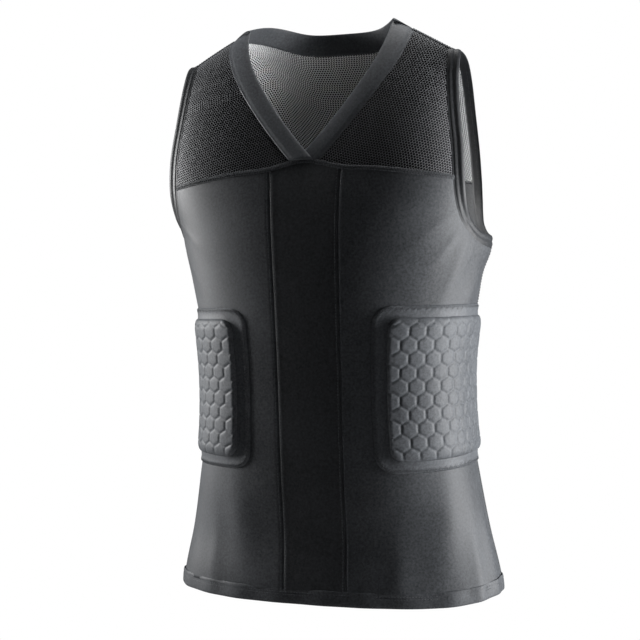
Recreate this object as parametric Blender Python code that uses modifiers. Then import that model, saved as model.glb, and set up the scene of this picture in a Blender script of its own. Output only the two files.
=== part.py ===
"""A padded sleeveless sports shirt, as it stands when it is worn.

Metres, +Z up, +X to the wearer's left, and the front faces -Y. The origin lies midway between
the two shoulders, at the height of the neck points, where the shirt rests on its wearer.

Every cloth piece lies on one body form. A place on the form is an azimuth and a rise. The azimuth
runs round the body in degrees: 0 at the front, 90 at the wearer's left side, 180 at the back, and
negative on the wearer's right. The rise runs up the cloth: 0 at the hem, 1 at the chest line and
2 at the shoulder ridge, where the front and the back meet.
"""

import math
from collections import namedtuple

import bmesh
import bpy
from mathutils import Vector

# Overall sizes of the body form
BODY_LENGTH = 0.680
CHEST_DROP = 0.253
CHEST_HALF_WIDTH = 0.178
CHEST_FRONT_DEPTH = 0.116
CHEST_BACK_DEPTH = 0.105
HEM_SIDE_RISE = 0.008
HEM_DIP = 0.006
HEM_DIP_AZIMUTH = 48.0
HEM_DIP_SPREAD = 34.0

# The shoulders
RIDGE_FORWARD = 0.026
SHOULDER_FORWARD = 0.015
SHOULDER_SLOPE = math.radians(30)
SLOPE_START = 0.078
SLOPE_SOFTNESS = 0.012
RIDGE_FADE_RISE = 0.35
FRONT_ARCH = 1.50
BACK_ARCH = 2.6

# The armpit stands out where the side seam meets the armhole
ARMPIT_FLARE = 0.011
ARMPIT_FLARE_WIDTH = 22.0
ARMPIT_FLARE_HEIGHT = 0.024

# Seam lines
CENTRE_HALF_WIDTH = 0.0375
CENTRE_TOP_WIDENING = 0.0055
SIDE_SEAM_AZIMUTH = 95.0
YOKE_SEAM_RISE = 1.19
YOKE_PEAK_RISE = 0.033
YOKE_PEAK_WIDTH = 0.034

# The neckline, where the band is sewn on
NECK_HALF_WIDTH = 0.111
NECK_FRONT_SHARPNESS = 2.35
NECK_BACK_RISE = 1.630
NECK_BACK_SQUARENESS = 4.0
BAND_END_HALF_WIDTH = 0.014
NECKBAND_FRONT_WIDTH = 0.019
NECKBAND_BACK_WIDTH = 0.025
NECKBAND_STAND = 0.8

# The armholes
SHOULDER_HALF_WIDTH = 0.157
ARMHOLE_FLOOR_RISE = 0.96
ARMHOLE_CORNER_RISE = 1.29
ARMHOLE_FRONT_AZIMUTH = 53.0
ARMHOLE_BACK_AZIMUTH = 133.0
ARMHOLE_CORNER = 2.7
BINDING_WIDTH = 0.012
BINDING_FLARE = 0.5

# The hem
HEM_BAND_HEIGHT = 0.014

# Cloth thicknesses and the clearances between pieces
KNIT_THICKNESS = 0.0012
MESH_THICKNESS = 0.0012
BAND_THICKNESS = 0.0020
BAND_CROWN = 0.0004
POCKET_THICKNESS = 0.0010
SEAM_GAP = 0.0005
LAYER_GAP = 0.0010
PAD_GAP = 0.0014

# The side pads
PAD_TOP_DROP = 0.351
PAD_HEIGHT = 0.164
PAD_WIDTH = 0.192
PAD_FRONT_AZIMUTH = 32.0
PAD_THICKNESS = 0.0048
PAD_CORNER_RADIUS = 0.016
POCKET_FRONT_MARGIN = 0.016
POCKET_TOP_MARGIN = 0.012
CELL_WIDTH = 0.0182
GROOVE_WIDTH = 0.0030
GROOVE_DEPTH = 0.0028
FIRST_CELL_SHARE = 0.78
SMALLEST_CELL_SHARE = 0.34

# How finely each piece is divided
CENTRE_COLUMNS = 4
BODY_ROWS = 12
YOKE_SEAM_COLUMNS = 7
ARMHOLE_COLUMNS = 5
BACK_SEAM_COLUMNS = 8
YOKE_COLUMNS = 6
YOKE_ROWS = 8
SHOULDER_COLUMNS = 3
NECK_BACK_COLUMNS = 10
BAND_COLUMNS = 2
BAND_END_ROWS = 4
HEM_COLUMNS = 42
POCKET_COLUMNS = 17
POCKET_ROWS = 5
PAD_CORNER_STEPS = 4
ARC_STEPS = 240

# Sections of the form. Width is a share of CHEST_HALF_WIDTH, front and back are shares of
# CHEST_FRONT_DEPTH and CHEST_BACK_DEPTH, and squareness is 2 for an ellipse and more for a box.
Section = namedtuple("Section", "rise width front back squareness")
SECTIONS = (
    Section(0.00, 1.105, 0.84, 1.02, 2.3),
    Section(0.06, 1.080, 0.84, 1.02, 2.3),
    Section(0.17, 1.019, 0.82, 0.99, 2.3),
    Section(0.31, 0.957, 0.87, 0.92, 2.4),
    Section(0.45, 0.904, 0.90, 0.86, 2.5),
    Section(0.60, 0.894, 0.92, 0.86, 2.5),
    Section(0.73, 0.919, 0.95, 0.91, 2.5),
    Section(0.87, 0.965, 0.98, 0.97, 2.6),
    Section(1.00, 1.000, 1.00, 1.00, 2.8),
    Section(1.20, 1.050, 1.02, 1.02, 3.1),
    Section(1.50, 1.030, 1.02, 1.02, 3.2),
    Section(2.00, 1.010, 1.00, 1.00, 3.2),
)

# Soft folds and dents: where each crosses the form, its half length and half width, its lean from
# upright in degrees, and how far it stands out. The lengths are shares of CHEST_HALF_WIDTH.
Fold = namedtuple("Fold", "azimuth rise length width lean height")
FOLDS = (
    Fold(62, 0.90, 0.253, 0.067, 28, 0.0090),
    Fold(78, 0.84, 0.225, 0.079, 40, 0.0079),
    Fold(-66, 0.90, 0.281, 0.079, -24, 0.0101),
    Fold(-30, 0.22, 0.309, 0.112, -12, 0.0124),
    Fold(52, 0.20, 0.337, 0.124, 16, 0.0124),
    Fold(84, 0.12, 0.281, 0.101, 6, 0.0112),
    Fold(150, 0.55, 0.281, 0.101, 70, 0.0101),
    Fold(-152, 0.42, 0.309, 0.101, -68, 0.0101),
    Fold(-64, 1.24, 0.674, 0.337, 0, 0.0365),
    Fold(62, 1.60, 0.840, 0.390, 0, -0.0360),
    Fold(-82, 0.89, 0.337, 0.337, 0, -0.0400),
    Fold(118, 1.35, 0.840, 0.450, 0, -0.0250),
    Fold(84, 0.85, 0.281, 0.337, 0, 0.0300),
)

BLACK_KNIT = ("knit", (0.018, 0.019, 0.022), 0.55)
BLACK_MESH = ("mesh", (0.030, 0.031, 0.034), 0.70)
BAND_KNIT = ("band", (0.040, 0.042, 0.046), 0.50)
PAD_KNIT = ("pad", (0.050, 0.053, 0.056), 0.60)


def table_value(table, column, place):
    """A column of a table at a place between its rows, on a smooth curve through them."""
    keys = [row[0] for row in table]
    values = [getattr(row, column) for row in table]
    place = min(max(place, keys[0]), keys[-1])
    i = max(k for k in range(len(keys) - 1) if keys[k] <= place)

    def slope(k):
        low, high = max(k - 1, 0), min(k + 1, len(keys) - 1)
        return (values[high] - values[low]) / (keys[high] - keys[low])

    span = keys[i + 1] - keys[i]
    t = (place - keys[i]) / span
    start = (1 + 2 * t) * (1 - t) ** 2 * values[i] + t * (1 - t) ** 2 * span * slope(i)
    end = t * t * (3 - 2 * t) * values[i + 1] + t * t * (t - 1) * span * slope(i + 1)
    return start + end


def smooth_step(t):
    t = min(max(t, 0.0), 1.0)
    return t * t * (3 - 2 * t)


def ridge_height(x):
    """The shoulder ridge's height: level at the neck, then down towards the shoulder's tip."""
    past = (abs(x) - SLOPE_START) / SLOPE_SOFTNESS
    return -math.tan(SHOULDER_SLOPE) * SLOPE_SOFTNESS * math.log1p(math.exp(past))


RIDGE_TOP = ridge_height(0.0)


def ridge_y(x):
    """How far forward the ridge lies: the shoulder's tip is further forward than the neck."""
    return -RIDGE_FORWARD - SHOULDER_FORWARD * smooth_step(abs(x) / SHOULDER_HALF_WIDTH)


def section_point(azimuth, rise):
    """The section's x and y at a rise, before the shoulders draw the front and back together."""
    turn = math.radians(azimuth)
    n = table_value(SECTIONS, "squareness", rise)
    corner = (abs(math.sin(turn)) ** n + abs(math.cos(turn)) ** n) ** (1 / n)
    width = CHEST_HALF_WIDTH * table_value(SECTIONS, "width", rise)
    if math.cos(turn) > 0:
        depth = CHEST_FRONT_DEPTH * table_value(SECTIONS, "front", rise)
    else:
        depth = CHEST_BACK_DEPTH * table_value(SECTIONS, "back", rise)
    return width * math.sin(turn) / corner, -depth * math.cos(turn) / corner


def fold_height(azimuth, rise):
    """How far the folds and the armpit's flare stand out from the plain form."""
    tall = BODY_LENGTH - CHEST_DROP
    azimuth = (azimuth + 180) % 360 - 180
    total = 0.0
    for fold in FOLDS:
        across = math.radians((azimuth - fold.azimuth + 180) % 360 - 180)
        up = (rise - fold.rise) * tall / CHEST_HALF_WIDTH
        lean = math.radians(fold.lean)
        side = across * math.cos(lean) - up * math.sin(lean)
        along = across * math.sin(lean) + up * math.cos(lean)
        total += fold.height * math.exp(-((side / fold.width) ** 2) - (along / fold.length) ** 2)
    away = (abs(azimuth) - SIDE_SEAM_AZIMUTH) / ARMPIT_FLARE_WIDTH
    above = (rise - ARMHOLE_FLOOR_RISE) * tall / ARMPIT_FLARE_HEIGHT
    fade = smooth_step((2 - rise) / RIDGE_FADE_RISE)
    flare = ARMPIT_FLARE * math.exp(-away * away - above * above)
    return total * fade * CHEST_HALF_WIDTH + flare


def form_point(azimuth, rise):
    """The body form's point, where the inner face of the cloth lies."""
    x, y = section_point(azimuth, rise)
    turn = math.radians(azimuth)
    off_dip = ((azimuth - HEM_DIP_AZIMUTH + 180) % 360 - 180) / HEM_DIP_SPREAD
    dip = HEM_DIP * math.exp(-off_dip * off_dip)
    hem_z = -BODY_LENGTH + HEM_SIDE_RISE * math.sin(turn) ** 2 - dip
    chest_z = -CHEST_DROP
    if rise <= 1:
        z = hem_z + (chest_z - hem_z) * rise
    else:
        arch = FRONT_ARCH + (BACK_ARCH - FRONT_ARCH) * (1 - math.cos(turn)) / 2
        lean = math.radians(90) * min(rise - 1, 1.0)
        corner = (math.sin(lean) ** arch + max(math.cos(lean), 0.0) ** arch) ** (1 / arch)
        y = ridge_y(x) + (y - ridge_y(x)) * max(math.cos(lean), 0.0) / corner
        z = chest_z + (ridge_height(x) - RIDGE_TOP - chest_z) * math.sin(lean) / corner
    out = fold_height(azimuth, rise)
    return Vector((x + out * math.sin(turn), y - out * math.cos(turn), z))


def form_normal(azimuth, rise):
    """The form's outward direction, from its slopes across and up."""
    step = 0.02
    low, high = rise - step / 2, rise + step / 2
    if high > 2:
        low, high = rise - step, rise
    across = form_point(azimuth + 1, rise) - form_point(azimuth - 1, rise)
    up = form_point(azimuth, high) - form_point(azimuth, low)
    return across.cross(up).normalized()


def azimuth_at(x, rise, back=False):
    """The azimuth at which the form has that x, on its front or its back."""
    n = table_value(SECTIONS, "squareness", rise)
    width = CHEST_HALF_WIDTH * table_value(SECTIONS, "width", rise)
    share = min(abs(x) / width, 0.9999) ** n
    turn = math.degrees(math.atan((share / (1 - share)) ** (1 / n)))
    if back:
        turn = 180 - turn
    return math.copysign(turn, x)


def centre_seam(rise):
    """The azimuth of the seam beside the centre front panel."""
    widening = CENTRE_TOP_WIDENING * (rise / YOKE_SEAM_RISE) ** 4
    return azimuth_at(CENTRE_HALF_WIDTH + widening, rise)


def yoke_seam(azimuth):
    """The rise of the seam under the yokes, which peaks below the V."""
    x = section_point(azimuth, YOKE_SEAM_RISE)[0]
    peak = YOKE_PEAK_RISE * math.exp(-((x / YOKE_PEAK_WIDTH) ** 2))
    return YOKE_SEAM_RISE + (peak if abs(azimuth) < 90 else 0.0)


def neckline_front(t):
    """The front neckline on the left side, from the V at 0 to the shoulder ridge at 1."""
    rise = V_RISE + (2 - V_RISE) * t
    share = 1 - (1 - t) ** NECK_FRONT_SHARPNESS
    x = BAND_END_HALF_WIDTH + (NECK_HALF_WIDTH - BAND_END_HALF_WIDTH) * share
    return azimuth_at(x, rise), rise


def neckline_back(t):
    """The back neckline, from the left shoulder ridge at 0 to the right one at 1."""
    x = NECK_HALF_WIDTH * math.cos(math.pi * t)
    rise = NECK_BACK_RISE + (2 - NECK_BACK_RISE) * (abs(x) / NECK_HALF_WIDTH) ** NECK_BACK_SQUARENESS
    azimuth = azimuth_at(x, rise, back=True)
    return azimuth % 360, rise


def armhole(t):
    """The left armhole: -1 at the ridge in front, 0 at its floor and 1 at the ridge behind."""
    ridge = azimuth_at(SHOULDER_HALF_WIDTH, 2, back=t > 0)
    edge = ARMHOLE_BACK_AZIMUTH if t > 0 else ARMHOLE_FRONT_AZIMUTH
    corner_share = 0.5
    turn = math.radians(90) * min(abs(t) / corner_share, 1)
    aside = math.sin(turn) ** (2 / ARMHOLE_CORNER)
    up = 1 - max(math.cos(turn), 0.0) ** (2 / ARMHOLE_CORNER)
    azimuth = SIDE_SEAM_AZIMUTH + (edge - SIDE_SEAM_AZIMUTH) * aside
    rise = ARMHOLE_FLOOR_RISE + (ARMHOLE_CORNER_RISE - ARMHOLE_FLOOR_RISE) * up
    above = max(abs(t) - corner_share, 0) / (1 - corner_share)
    rise += (2 - ARMHOLE_CORNER_RISE) * above
    return azimuth + (ridge - edge) * smooth_step(above), rise


def armhole_at_rise(rise, back):
    """How far round the armhole it reaches a rise."""
    sign = 1 if back else -1
    low, high = 0.0, 1.0
    for _ in range(40):
        middle = (low + high) / 2
        if armhole(sign * middle)[1] < rise:
            low = middle
        else:
            high = middle
    return sign * high


V_RISE = YOKE_SEAM_RISE + YOKE_PEAK_RISE
FRONT_YOKE_END = armhole_at_rise(YOKE_SEAM_RISE, back=False)
BACK_YOKE_END = armhole_at_rise(YOKE_SEAM_RISE, back=True)
HEM_TOP_RISE = HEM_BAND_HEIGHT / (BODY_LENGTH - CHEST_DROP)
GAP_RISE = SEAM_GAP / 2 / (BODY_LENGTH - CHEST_DROP)
GAP_AZIMUTH = math.degrees(SEAM_GAP / 2 / CHEST_HALF_WIDTH)


def even(count, low=0.0, high=1.0):
    """Evenly spaced numbers, both ends included."""
    return [low + (high - low) * i / count for i in range(count + 1)]


def patch(bottom, right, top, left, across, upward):
    """Rows of (azimuth, rise) that fill the space between four edges of the form."""

    def mix(a, b, t):
        return tuple(p + (q - p) * t for p, q in zip(a, b))

    rows = []
    for v in upward:
        row = []
        for u in across:
            between = mix(bottom(u), top(u), v)
            beside = mix(left(v), right(v), u)
            corners = mix(mix(bottom(0), bottom(1), u), mix(top(0), top(1), u), v)
            row.append(tuple(a + b - c for a, b, c in zip(between, beside, corners)))
        rows.append(row)
    return rows


def mirrored(rows):
    """The same patch on the wearer's right, with its columns in the order that keeps it outwards."""
    return [[(-azimuth, rise) for azimuth, rise in reversed(row)] for row in rows]


def placed(rows, lift=0.0):
    """The patch's points in space, lifted off the form."""
    return [[form_point(*spot) + form_normal(*spot) * lift for spot in row] for row in rows]


def material_of(finish):
    name, colour, roughness = finish
    material = bpy.data.materials.get(name) or bpy.data.materials.new(name)
    material.use_nodes = True
    shader = material.node_tree.nodes["Principled BSDF"]
    shader.inputs["Base Color"].default_value = (*colour, 1)
    shader.inputs["Roughness"].default_value = roughness
    shader.inputs["Metallic"].default_value = 0
    material.diffuse_color = (*colour, 1)
    return material


def add_object(name, mesh, finish):
    mesh.materials.append(material_of(finish))
    obj = bpy.data.objects.new(name, mesh)
    shirt_collection().objects.link(obj)
    mesh.shade_smooth()
    mesh.set_sharp_from_angle(angle=math.radians(35))
    return obj


def shirt_collection():
    name = "padded_tank_top"
    found = bpy.data.collections.get(name)
    if found is None:
        found = bpy.data.collections.new(name)
        bpy.context.scene.collection.children.link(found)
    return found


def cloth(name, points, thickness, finish, closed=False):
    """A sheet of cloth: an open grid of points, given its thickness outwards by Solidify."""
    mesh = bpy.data.meshes.new(name)
    width, height = len(points[0]), len(points)
    faces = []
    for j in range(height if closed else height - 1):
        for i in range(width - 1):
            above = (j + 1) % height
            faces.append((j * width + i, j * width + i + 1, above * width + i + 1, above * width + i))
    mesh.from_pydata([p for row in points for p in row], [], faces)
    obj = add_object(name, mesh, finish)
    wall = obj.modifiers.new("wall", "SOLIDIFY")
    wall.thickness = thickness
    wall.offset = 1
    return obj


def centre_front_panel():
    low, high = HEM_TOP_RISE + GAP_RISE, V_RISE - 2 * GAP_RISE

    def side(sign):
        def edge(v):
            rise = low + (YOKE_SEAM_RISE - low) * v
            return sign * (centre_seam(rise) - GAP_AZIMUTH), rise

        return edge

    def bottom(u):
        return side(-1)(0)[0] * (1 - 2 * u), low

    def top(u):
        azimuth = side(-1)(1)[0] * (1 - 2 * u)
        return azimuth, min(yoke_seam(azimuth) - GAP_RISE, high)

    def lifted_side(sign):
        def edge(v):
            azimuth, rise = side(sign)(v)
            return azimuth, rise + (top(0)[1] - YOKE_SEAM_RISE) * v

        return edge

    rows = patch(
        bottom, lifted_side(1), top, lifted_side(-1), even(CENTRE_COLUMNS), even(BODY_ROWS)
    )
    cloth("centre_front_panel", placed(rows), KNIT_THICKNESS, BLACK_KNIT)


def front_side_panels():
    low = HEM_TOP_RISE + GAP_RISE
    side = SIDE_SEAM_AZIMUTH - GAP_AZIMUTH
    split = YOKE_SEAM_COLUMNS / (YOKE_SEAM_COLUMNS + ARMHOLE_COLUMNS)
    seam_start = centre_seam(YOKE_SEAM_RISE) + GAP_AZIMUTH
    seam_end = armhole(FRONT_YOKE_END)[0]

    def top(u):
        if u < split:
            azimuth = seam_start + (seam_end - seam_start) * u / split
            return azimuth, yoke_seam(azimuth) - GAP_RISE
        azimuth, rise = armhole(FRONT_YOKE_END * (1 - (u - split) / (1 - split)))
        return min(azimuth, side), min(rise, YOKE_SEAM_RISE - GAP_RISE)

    def front(v):
        rise = low + (top(0)[1] - low) * v
        return centre_seam(rise) + GAP_AZIMUTH, rise

    def bottom(u):
        start = front(0)[0]
        return start + (side - start) * u, low

    def back(v):
        return side, low + (ARMHOLE_FLOOR_RISE - low) * v

    across = even(YOKE_SEAM_COLUMNS, 0, split) + even(ARMHOLE_COLUMNS, split, 1)[1:]
    rows = patch(bottom, back, top, front, across, even(BODY_ROWS))
    cloth("front_side_panel_left", placed(rows), KNIT_THICKNESS, BLACK_KNIT)
    cloth("front_side_panel_right", placed(mirrored(rows)), KNIT_THICKNESS, BLACK_KNIT)


def back_panel():
    low = HEM_TOP_RISE + GAP_RISE
    start = SIDE_SEAM_AZIMUTH + GAP_AZIMUTH
    columns = 2 * ARMHOLE_COLUMNS + BACK_SEAM_COLUMNS
    split = ARMHOLE_COLUMNS / columns
    seam_start = armhole(BACK_YOKE_END)[0]

    def top(u):
        if u > 0.5:
            azimuth, rise = top(1 - u)
            return 360 - azimuth, rise
        if u > split:
            share = (u - split) / (1 - 2 * split)
            return seam_start + (360 - 2 * seam_start) * share, YOKE_SEAM_RISE - GAP_RISE
        azimuth, rise = armhole(BACK_YOKE_END * u / split)
        return max(azimuth, start), min(rise, YOKE_SEAM_RISE - GAP_RISE)

    def bottom(u):
        return start + (360 - 2 * start) * u, low

    def left(v):
        return start, low + (ARMHOLE_FLOOR_RISE - low) * v

    def right(v):
        return 360 - start, left(v)[1]

    rows = patch(bottom, right, top, left, even(columns), even(BODY_ROWS))
    cloth("back_panel", placed(rows), KNIT_THICKNESS, BLACK_KNIT)


def front_yokes():
    start = neckline_front(0)[0]
    end = armhole(FRONT_YOKE_END)[0]
    ridge_start = neckline_front(1)[0]
    ridge_end = armhole(-1)[0]

    def bottom(u):
        azimuth = start + (end - start) * u
        return azimuth, yoke_seam(azimuth) + GAP_RISE

    def top(u):
        return ridge_start + (ridge_end - ridge_start) * u, 2 - 2 * GAP_RISE

    def neck(v):
        azimuth, rise = neckline_front(v)
        return azimuth, rise + bottom(0)[1] * (1 - v) - V_RISE * (1 - v)

    def arm(v):
        azimuth, rise = armhole(FRONT_YOKE_END + (-1 - FRONT_YOKE_END) * v)
        return azimuth, rise + GAP_RISE * (1 - v)

    rows = patch(bottom, arm, top, neck, even(YOKE_COLUMNS), even(YOKE_ROWS))
    cloth("front_yoke_left", placed(rows), MESH_THICKNESS, BLACK_MESH)
    cloth("front_yoke_right", placed(mirrored(rows)), MESH_THICKNESS, BLACK_MESH)


def back_yoke():
    columns = 2 * SHOULDER_COLUMNS + NECK_BACK_COLUMNS
    split = SHOULDER_COLUMNS / columns
    start = armhole(BACK_YOKE_END)[0]
    ridge_start, ridge_end = armhole(1)[0], neckline_back(0)[0]

    def bottom(u):
        return start + (360 - 2 * start) * u, YOKE_SEAM_RISE + GAP_RISE

    def top(u):
        if u > 0.5:
            azimuth, rise = top(1 - u)
            return 360 - azimuth, rise
        if u > split:
            azimuth, rise = neckline_back((u - split) / (1 - 2 * split))
            return azimuth, min(rise, 2 - 2 * GAP_RISE)
        return ridge_start + (ridge_end - ridge_start) * u / split, 2 - 2 * GAP_RISE

    def left(v):
        azimuth, rise = armhole(BACK_YOKE_END + (1 - BACK_YOKE_END) * v)
        return azimuth, min(rise + GAP_RISE, 2 - 2 * GAP_RISE)

    def right(v):
        azimuth, rise = left(v)
        return 360 - azimuth, rise

    rows = patch(bottom, right, top, left, even(columns), even(YOKE_ROWS))
    cloth("back_yoke", placed(rows), MESH_THICKNESS, BLACK_MESH)


def strip(spots, widths, skews, lifts, stands, toward, closed):
    """Points across a band that runs along spots of the form and reaches into the opening.

    The opening lies on the left of the way along. A skew slides the band's free edge along its
    length, a lift raises the whole band, and a stand turns it from the form's slope to toward.
    """
    line = [form_point(*spot) for spot in spots]
    count = len(line)
    rows = []
    for i, spot in enumerate(spots):
        width, skew, lift, stand = widths[i], skews[i], lifts[i], stands[i]
        before = line[i - 1] if closed or i else line[i]
        after = line[(i + 1) % count] if closed or i + 1 < count else line[i]
        along = (after - before).normalized()
        outward = form_normal(*spot)
        across = outward.cross(along).normalized() * (1 - stand) + toward * stand
        across = (across - along * across.dot(along)).normalized()
        outward = along.cross(across).normalized()
        base = KNIT_THICKNESS / 2 - BAND_THICKNESS / 2 + lift
        row = []
        for share in even(BAND_COLUMNS):
            reach = SEAM_GAP + width * share
            crown = BAND_CROWN * 4 * share * (1 - share)
            aside = across * reach + along * skew * width * share
            row.append(line[i] + aside + outward * (base + crown))
        rows.append(row)
    return rows


def neckband():
    """One strip from the V up the left side, round the back and down to cross over at the V."""
    left_side = [neckline_front(t) for t in even(YOKE_ROWS)]
    back = [neckline_back(t) for t in even(NECK_BACK_COLUMNS)][1:-1]
    right_side = [(360 - azimuth, rise) for azimuth, rise in reversed(left_side)]
    spots = left_side + back + right_side
    last = len(spots) - 1
    widths, skews, lifts, stands = [], [], [], []
    for i in range(len(spots)):
        shoulder = smooth_step(min(i, last - i) / YOKE_ROWS)
        behind = smooth_step((min(i, last - i) - YOKE_ROWS) / (NECK_BACK_COLUMNS / 2))
        widths.append(
            NECKBAND_FRONT_WIDTH + (NECKBAND_BACK_WIDTH - NECKBAND_FRONT_WIDTH) * shoulder
        )
        from_end = min(i, last - i) / BAND_END_ROWS
        skew = 0.8 * smooth_step(1 - from_end)
        skews.append(-skew if i < last / 2 else skew)
        over = smooth_step(1 - (last - i) / BAND_END_ROWS)
        lifts.append((BAND_THICKNESS + BAND_CROWN + LAYER_GAP) * over)
        stands.append(NECKBAND_STAND * behind)
    rows = strip(spots, widths, skews, lifts, stands, Vector((0, 0, 1)), closed=False)
    cloth("neckband", rows, BAND_THICKNESS, BAND_KNIT)


def armhole_bindings():
    stations = even(YOKE_ROWS, -1, FRONT_YOKE_END)
    stations += even(ARMHOLE_COLUMNS, FRONT_YOKE_END, 0)[1:]
    stations += even(ARMHOLE_COLUMNS, 0, BACK_YOKE_END)[1:]
    stations += even(YOKE_ROWS, BACK_YOKE_END, 1)[1:-1]
    widths, level = [BINDING_WIDTH] * len(stations), [0] * len(stations)
    for side, name in ((1, "armhole_binding_left"), (-1, "armhole_binding_right")):
        way = stations if side > 0 else stations[::-1]
        spots = [(side * azimuth, rise) for azimuth, rise in map(armhole, way)]
        flares = [BINDING_FLARE * smooth_step((abs(t) - 0.1) / 0.4) for t in way]
        rows = strip(spots, widths, level, level, flares, Vector((side, 0, 0)), closed=True)
        cloth(name, rows, BAND_THICKNESS, BAND_KNIT, closed=True)


def hem_band():
    top = HEM_TOP_RISE - GAP_RISE
    rows = []
    for k in range(HEM_COLUMNS):
        azimuth = 360 * k / HEM_COLUMNS
        row = []
        for share in even(BAND_COLUMNS):
            spot = (azimuth, top * (1 - share))
            base = KNIT_THICKNESS / 2 - BAND_THICKNESS / 2
            crown = BAND_CROWN * 4 * share * (1 - share)
            row.append(form_point(*spot) + form_normal(*spot) * (base + crown))
        rows.append(row)
    cloth("hem_band", rows, BAND_THICKNESS, BLACK_KNIT, closed=True)


def arc_table(rise):
    """(azimuth, distance round the body from the pad's front edge), at one rise."""
    table = [(PAD_FRONT_AZIMUTH, 0.0)]
    step = 0.5
    for k in range(1, ARC_STEPS * 2):
        azimuth = PAD_FRONT_AZIMUTH + k * step
        gone = (form_point(azimuth, rise) - form_point(azimuth - step, rise)).length
        table.append((azimuth, table[-1][1] + gone))
    return table


def pad_spot_maker():
    """A function that turns places on the flat pad into places on the form.

    The flat pad's p runs from its front edge towards the back, and its q from its top edge down.
    """
    tall = BODY_LENGTH - CHEST_DROP
    top_rise = 1 - (PAD_TOP_DROP - CHEST_DROP) / tall
    middle = top_rise - PAD_HEIGHT / 2 / tall
    table = arc_table(middle)
    step = table[1][0] - table[0][0]
    front_pace = table[1][1] / step

    def spot(p, q):
        rise = top_rise - q / tall
        if p < 0:
            return PAD_FRONT_AZIMUTH + p / front_pace, rise
        i = max(k for k in range(len(table) - 1) if table[k][1] <= p)
        share = (p - table[i][1]) / (table[i + 1][1] - table[i][1])
        return table[i][0] + step * share, rise

    return spot


def pockets(pad_spot):
    """The cover panel that is stitched down round each pad, with round corners."""
    left, right = -POCKET_FRONT_MARGIN, PAD_WIDTH + POCKET_FRONT_MARGIN
    top, bottom = -POCKET_TOP_MARGIN, PAD_HEIGHT + POCKET_TOP_MARGIN
    radius = PAD_CORNER_RADIUS
    corner = [radius * (1 - math.cos(a)) for a in even(2, 0, math.radians(90))]
    levels = [top + c for c in corner[:-1]]
    levels += even(POCKET_ROWS, top + radius, bottom - radius)
    levels += [bottom - c for c in reversed(corner[:-1])]
    rows = []
    for level in reversed(levels):
        near = max(radius - min(level - top, bottom - level), 0)
        inset = radius - math.sqrt(max(radius**2 - near**2, 0))
        start, end = left + inset, right - inset
        rows.append([pad_spot(start + (end - start) * u, level) for u in even(POCKET_COLUMNS)])
    lift = KNIT_THICKNESS + LAYER_GAP
    cloth("side_pocket_left", placed(rows, lift), POCKET_THICKNESS, PAD_KNIT)
    cloth("side_pocket_right", placed(mirrored(rows), lift), POCKET_THICKNESS, PAD_KNIT)


def pad_outline():
    """The pad's flat outline, a rectangle with round corners, anticlockwise."""
    radius = PAD_CORNER_RADIUS
    corners = (
        (PAD_WIDTH - radius, PAD_HEIGHT - radius, 0),
        (radius, PAD_HEIGHT - radius, 90),
        (radius, radius, 180),
        (PAD_WIDTH - radius, radius, 270),
    )
    points = []
    for cx, cy, start in corners:
        for turn in even(PAD_CORNER_STEPS, start, start + 90):
            a = math.radians(turn)
            points.append((cx + radius * math.cos(a), cy + radius * math.sin(a)))
    return points


def clipped(polygon, outline):
    """The part of a polygon inside a convex outline."""
    for (ax, ay), (bx, by) in zip(outline, outline[1:] + outline[:1]):
        kept = []
        for (px, py), (qx, qy) in zip(polygon, polygon[1:] + polygon[:1]):
            inside_p = (bx - ax) * (py - ay) - (by - ay) * (px - ax)
            inside_q = (bx - ax) * (qy - ay) - (by - ay) * (qx - ax)
            if inside_p >= 0:
                kept.append((px, py))
            if inside_p * inside_q < 0:
                share = inside_p / (inside_p - inside_q)
                kept.append((px + (qx - px) * share, py + (qy - py) * share))
        polygon = kept
        if len(polygon) < 3:
            return []
    return polygon


def tidy(polygon):
    """The polygon without corners that repeat."""
    kept = []
    for point in polygon:
        if not kept or math.dist(point, kept[-1]) > 1e-6:
            kept.append(point)
    while len(kept) > 1 and math.dist(kept[0], kept[-1]) <= 1e-6:
        kept.pop()
    return kept


def area_of(polygon):
    return sum(a[0] * b[1] - b[0] * a[1] for a, b in zip(polygon, polygon[1:] + polygon[:1])) / 2


def joined(first, second):
    """Two polygons that share one edge, as one, or None if they share none."""

    def same(a, b):
        return math.dist(a, b) < 1e-6

    for i in range(len(first)):
        for j in range(len(second)):
            if same(first[i], second[(j + 1) % len(second)]) and same(
                first[(i + 1) % len(first)], second[j]
            ):
                rest = [second[(j + 1 + k) % len(second)] for k in range(1, len(second) - 1)]
                return first[: i + 1] + rest + first[i + 1 :]
    return None


def pad_cells():
    """The flat outlines of the foam's hexagons, row by row, with slivers joined to a neighbour."""
    outline = pad_outline()
    radius = CELL_WIDTH / math.sqrt(3)
    pitch = 1.5 * radius
    full = 1.5 * math.sqrt(3) * radius**2
    cells = []
    for row in range(-1, math.ceil(PAD_HEIGHT / pitch) + 2):
        offset = (FIRST_CELL_SHARE - 0.5 + 0.5 * (row % 2)) * CELL_WIDTH
        cut = []
        for column in range(-2, math.ceil(PAD_WIDTH / CELL_WIDTH) + 2):
            cx, cy = offset + column * CELL_WIDTH, row * pitch
            turns = [math.radians(30 + 60 * k) for k in range(6)]
            hexagon = [(cx + radius * math.cos(a), cy + radius * math.sin(a)) for a in turns]
            piece = tidy(clipped(hexagon, outline))
            if len(piece) > 2:
                cut.append(piece)
        for end in (0, -1):
            if len(cut) > 1 and area_of(cut[end]) < SMALLEST_CELL_SHARE * full:
                inner = 1 if end == 0 else -2
                whole = joined(cut[inner], cut[end])
                if whole:
                    cut[inner] = whole
                    cut.pop(end)
        cells += cut
    return cells


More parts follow.
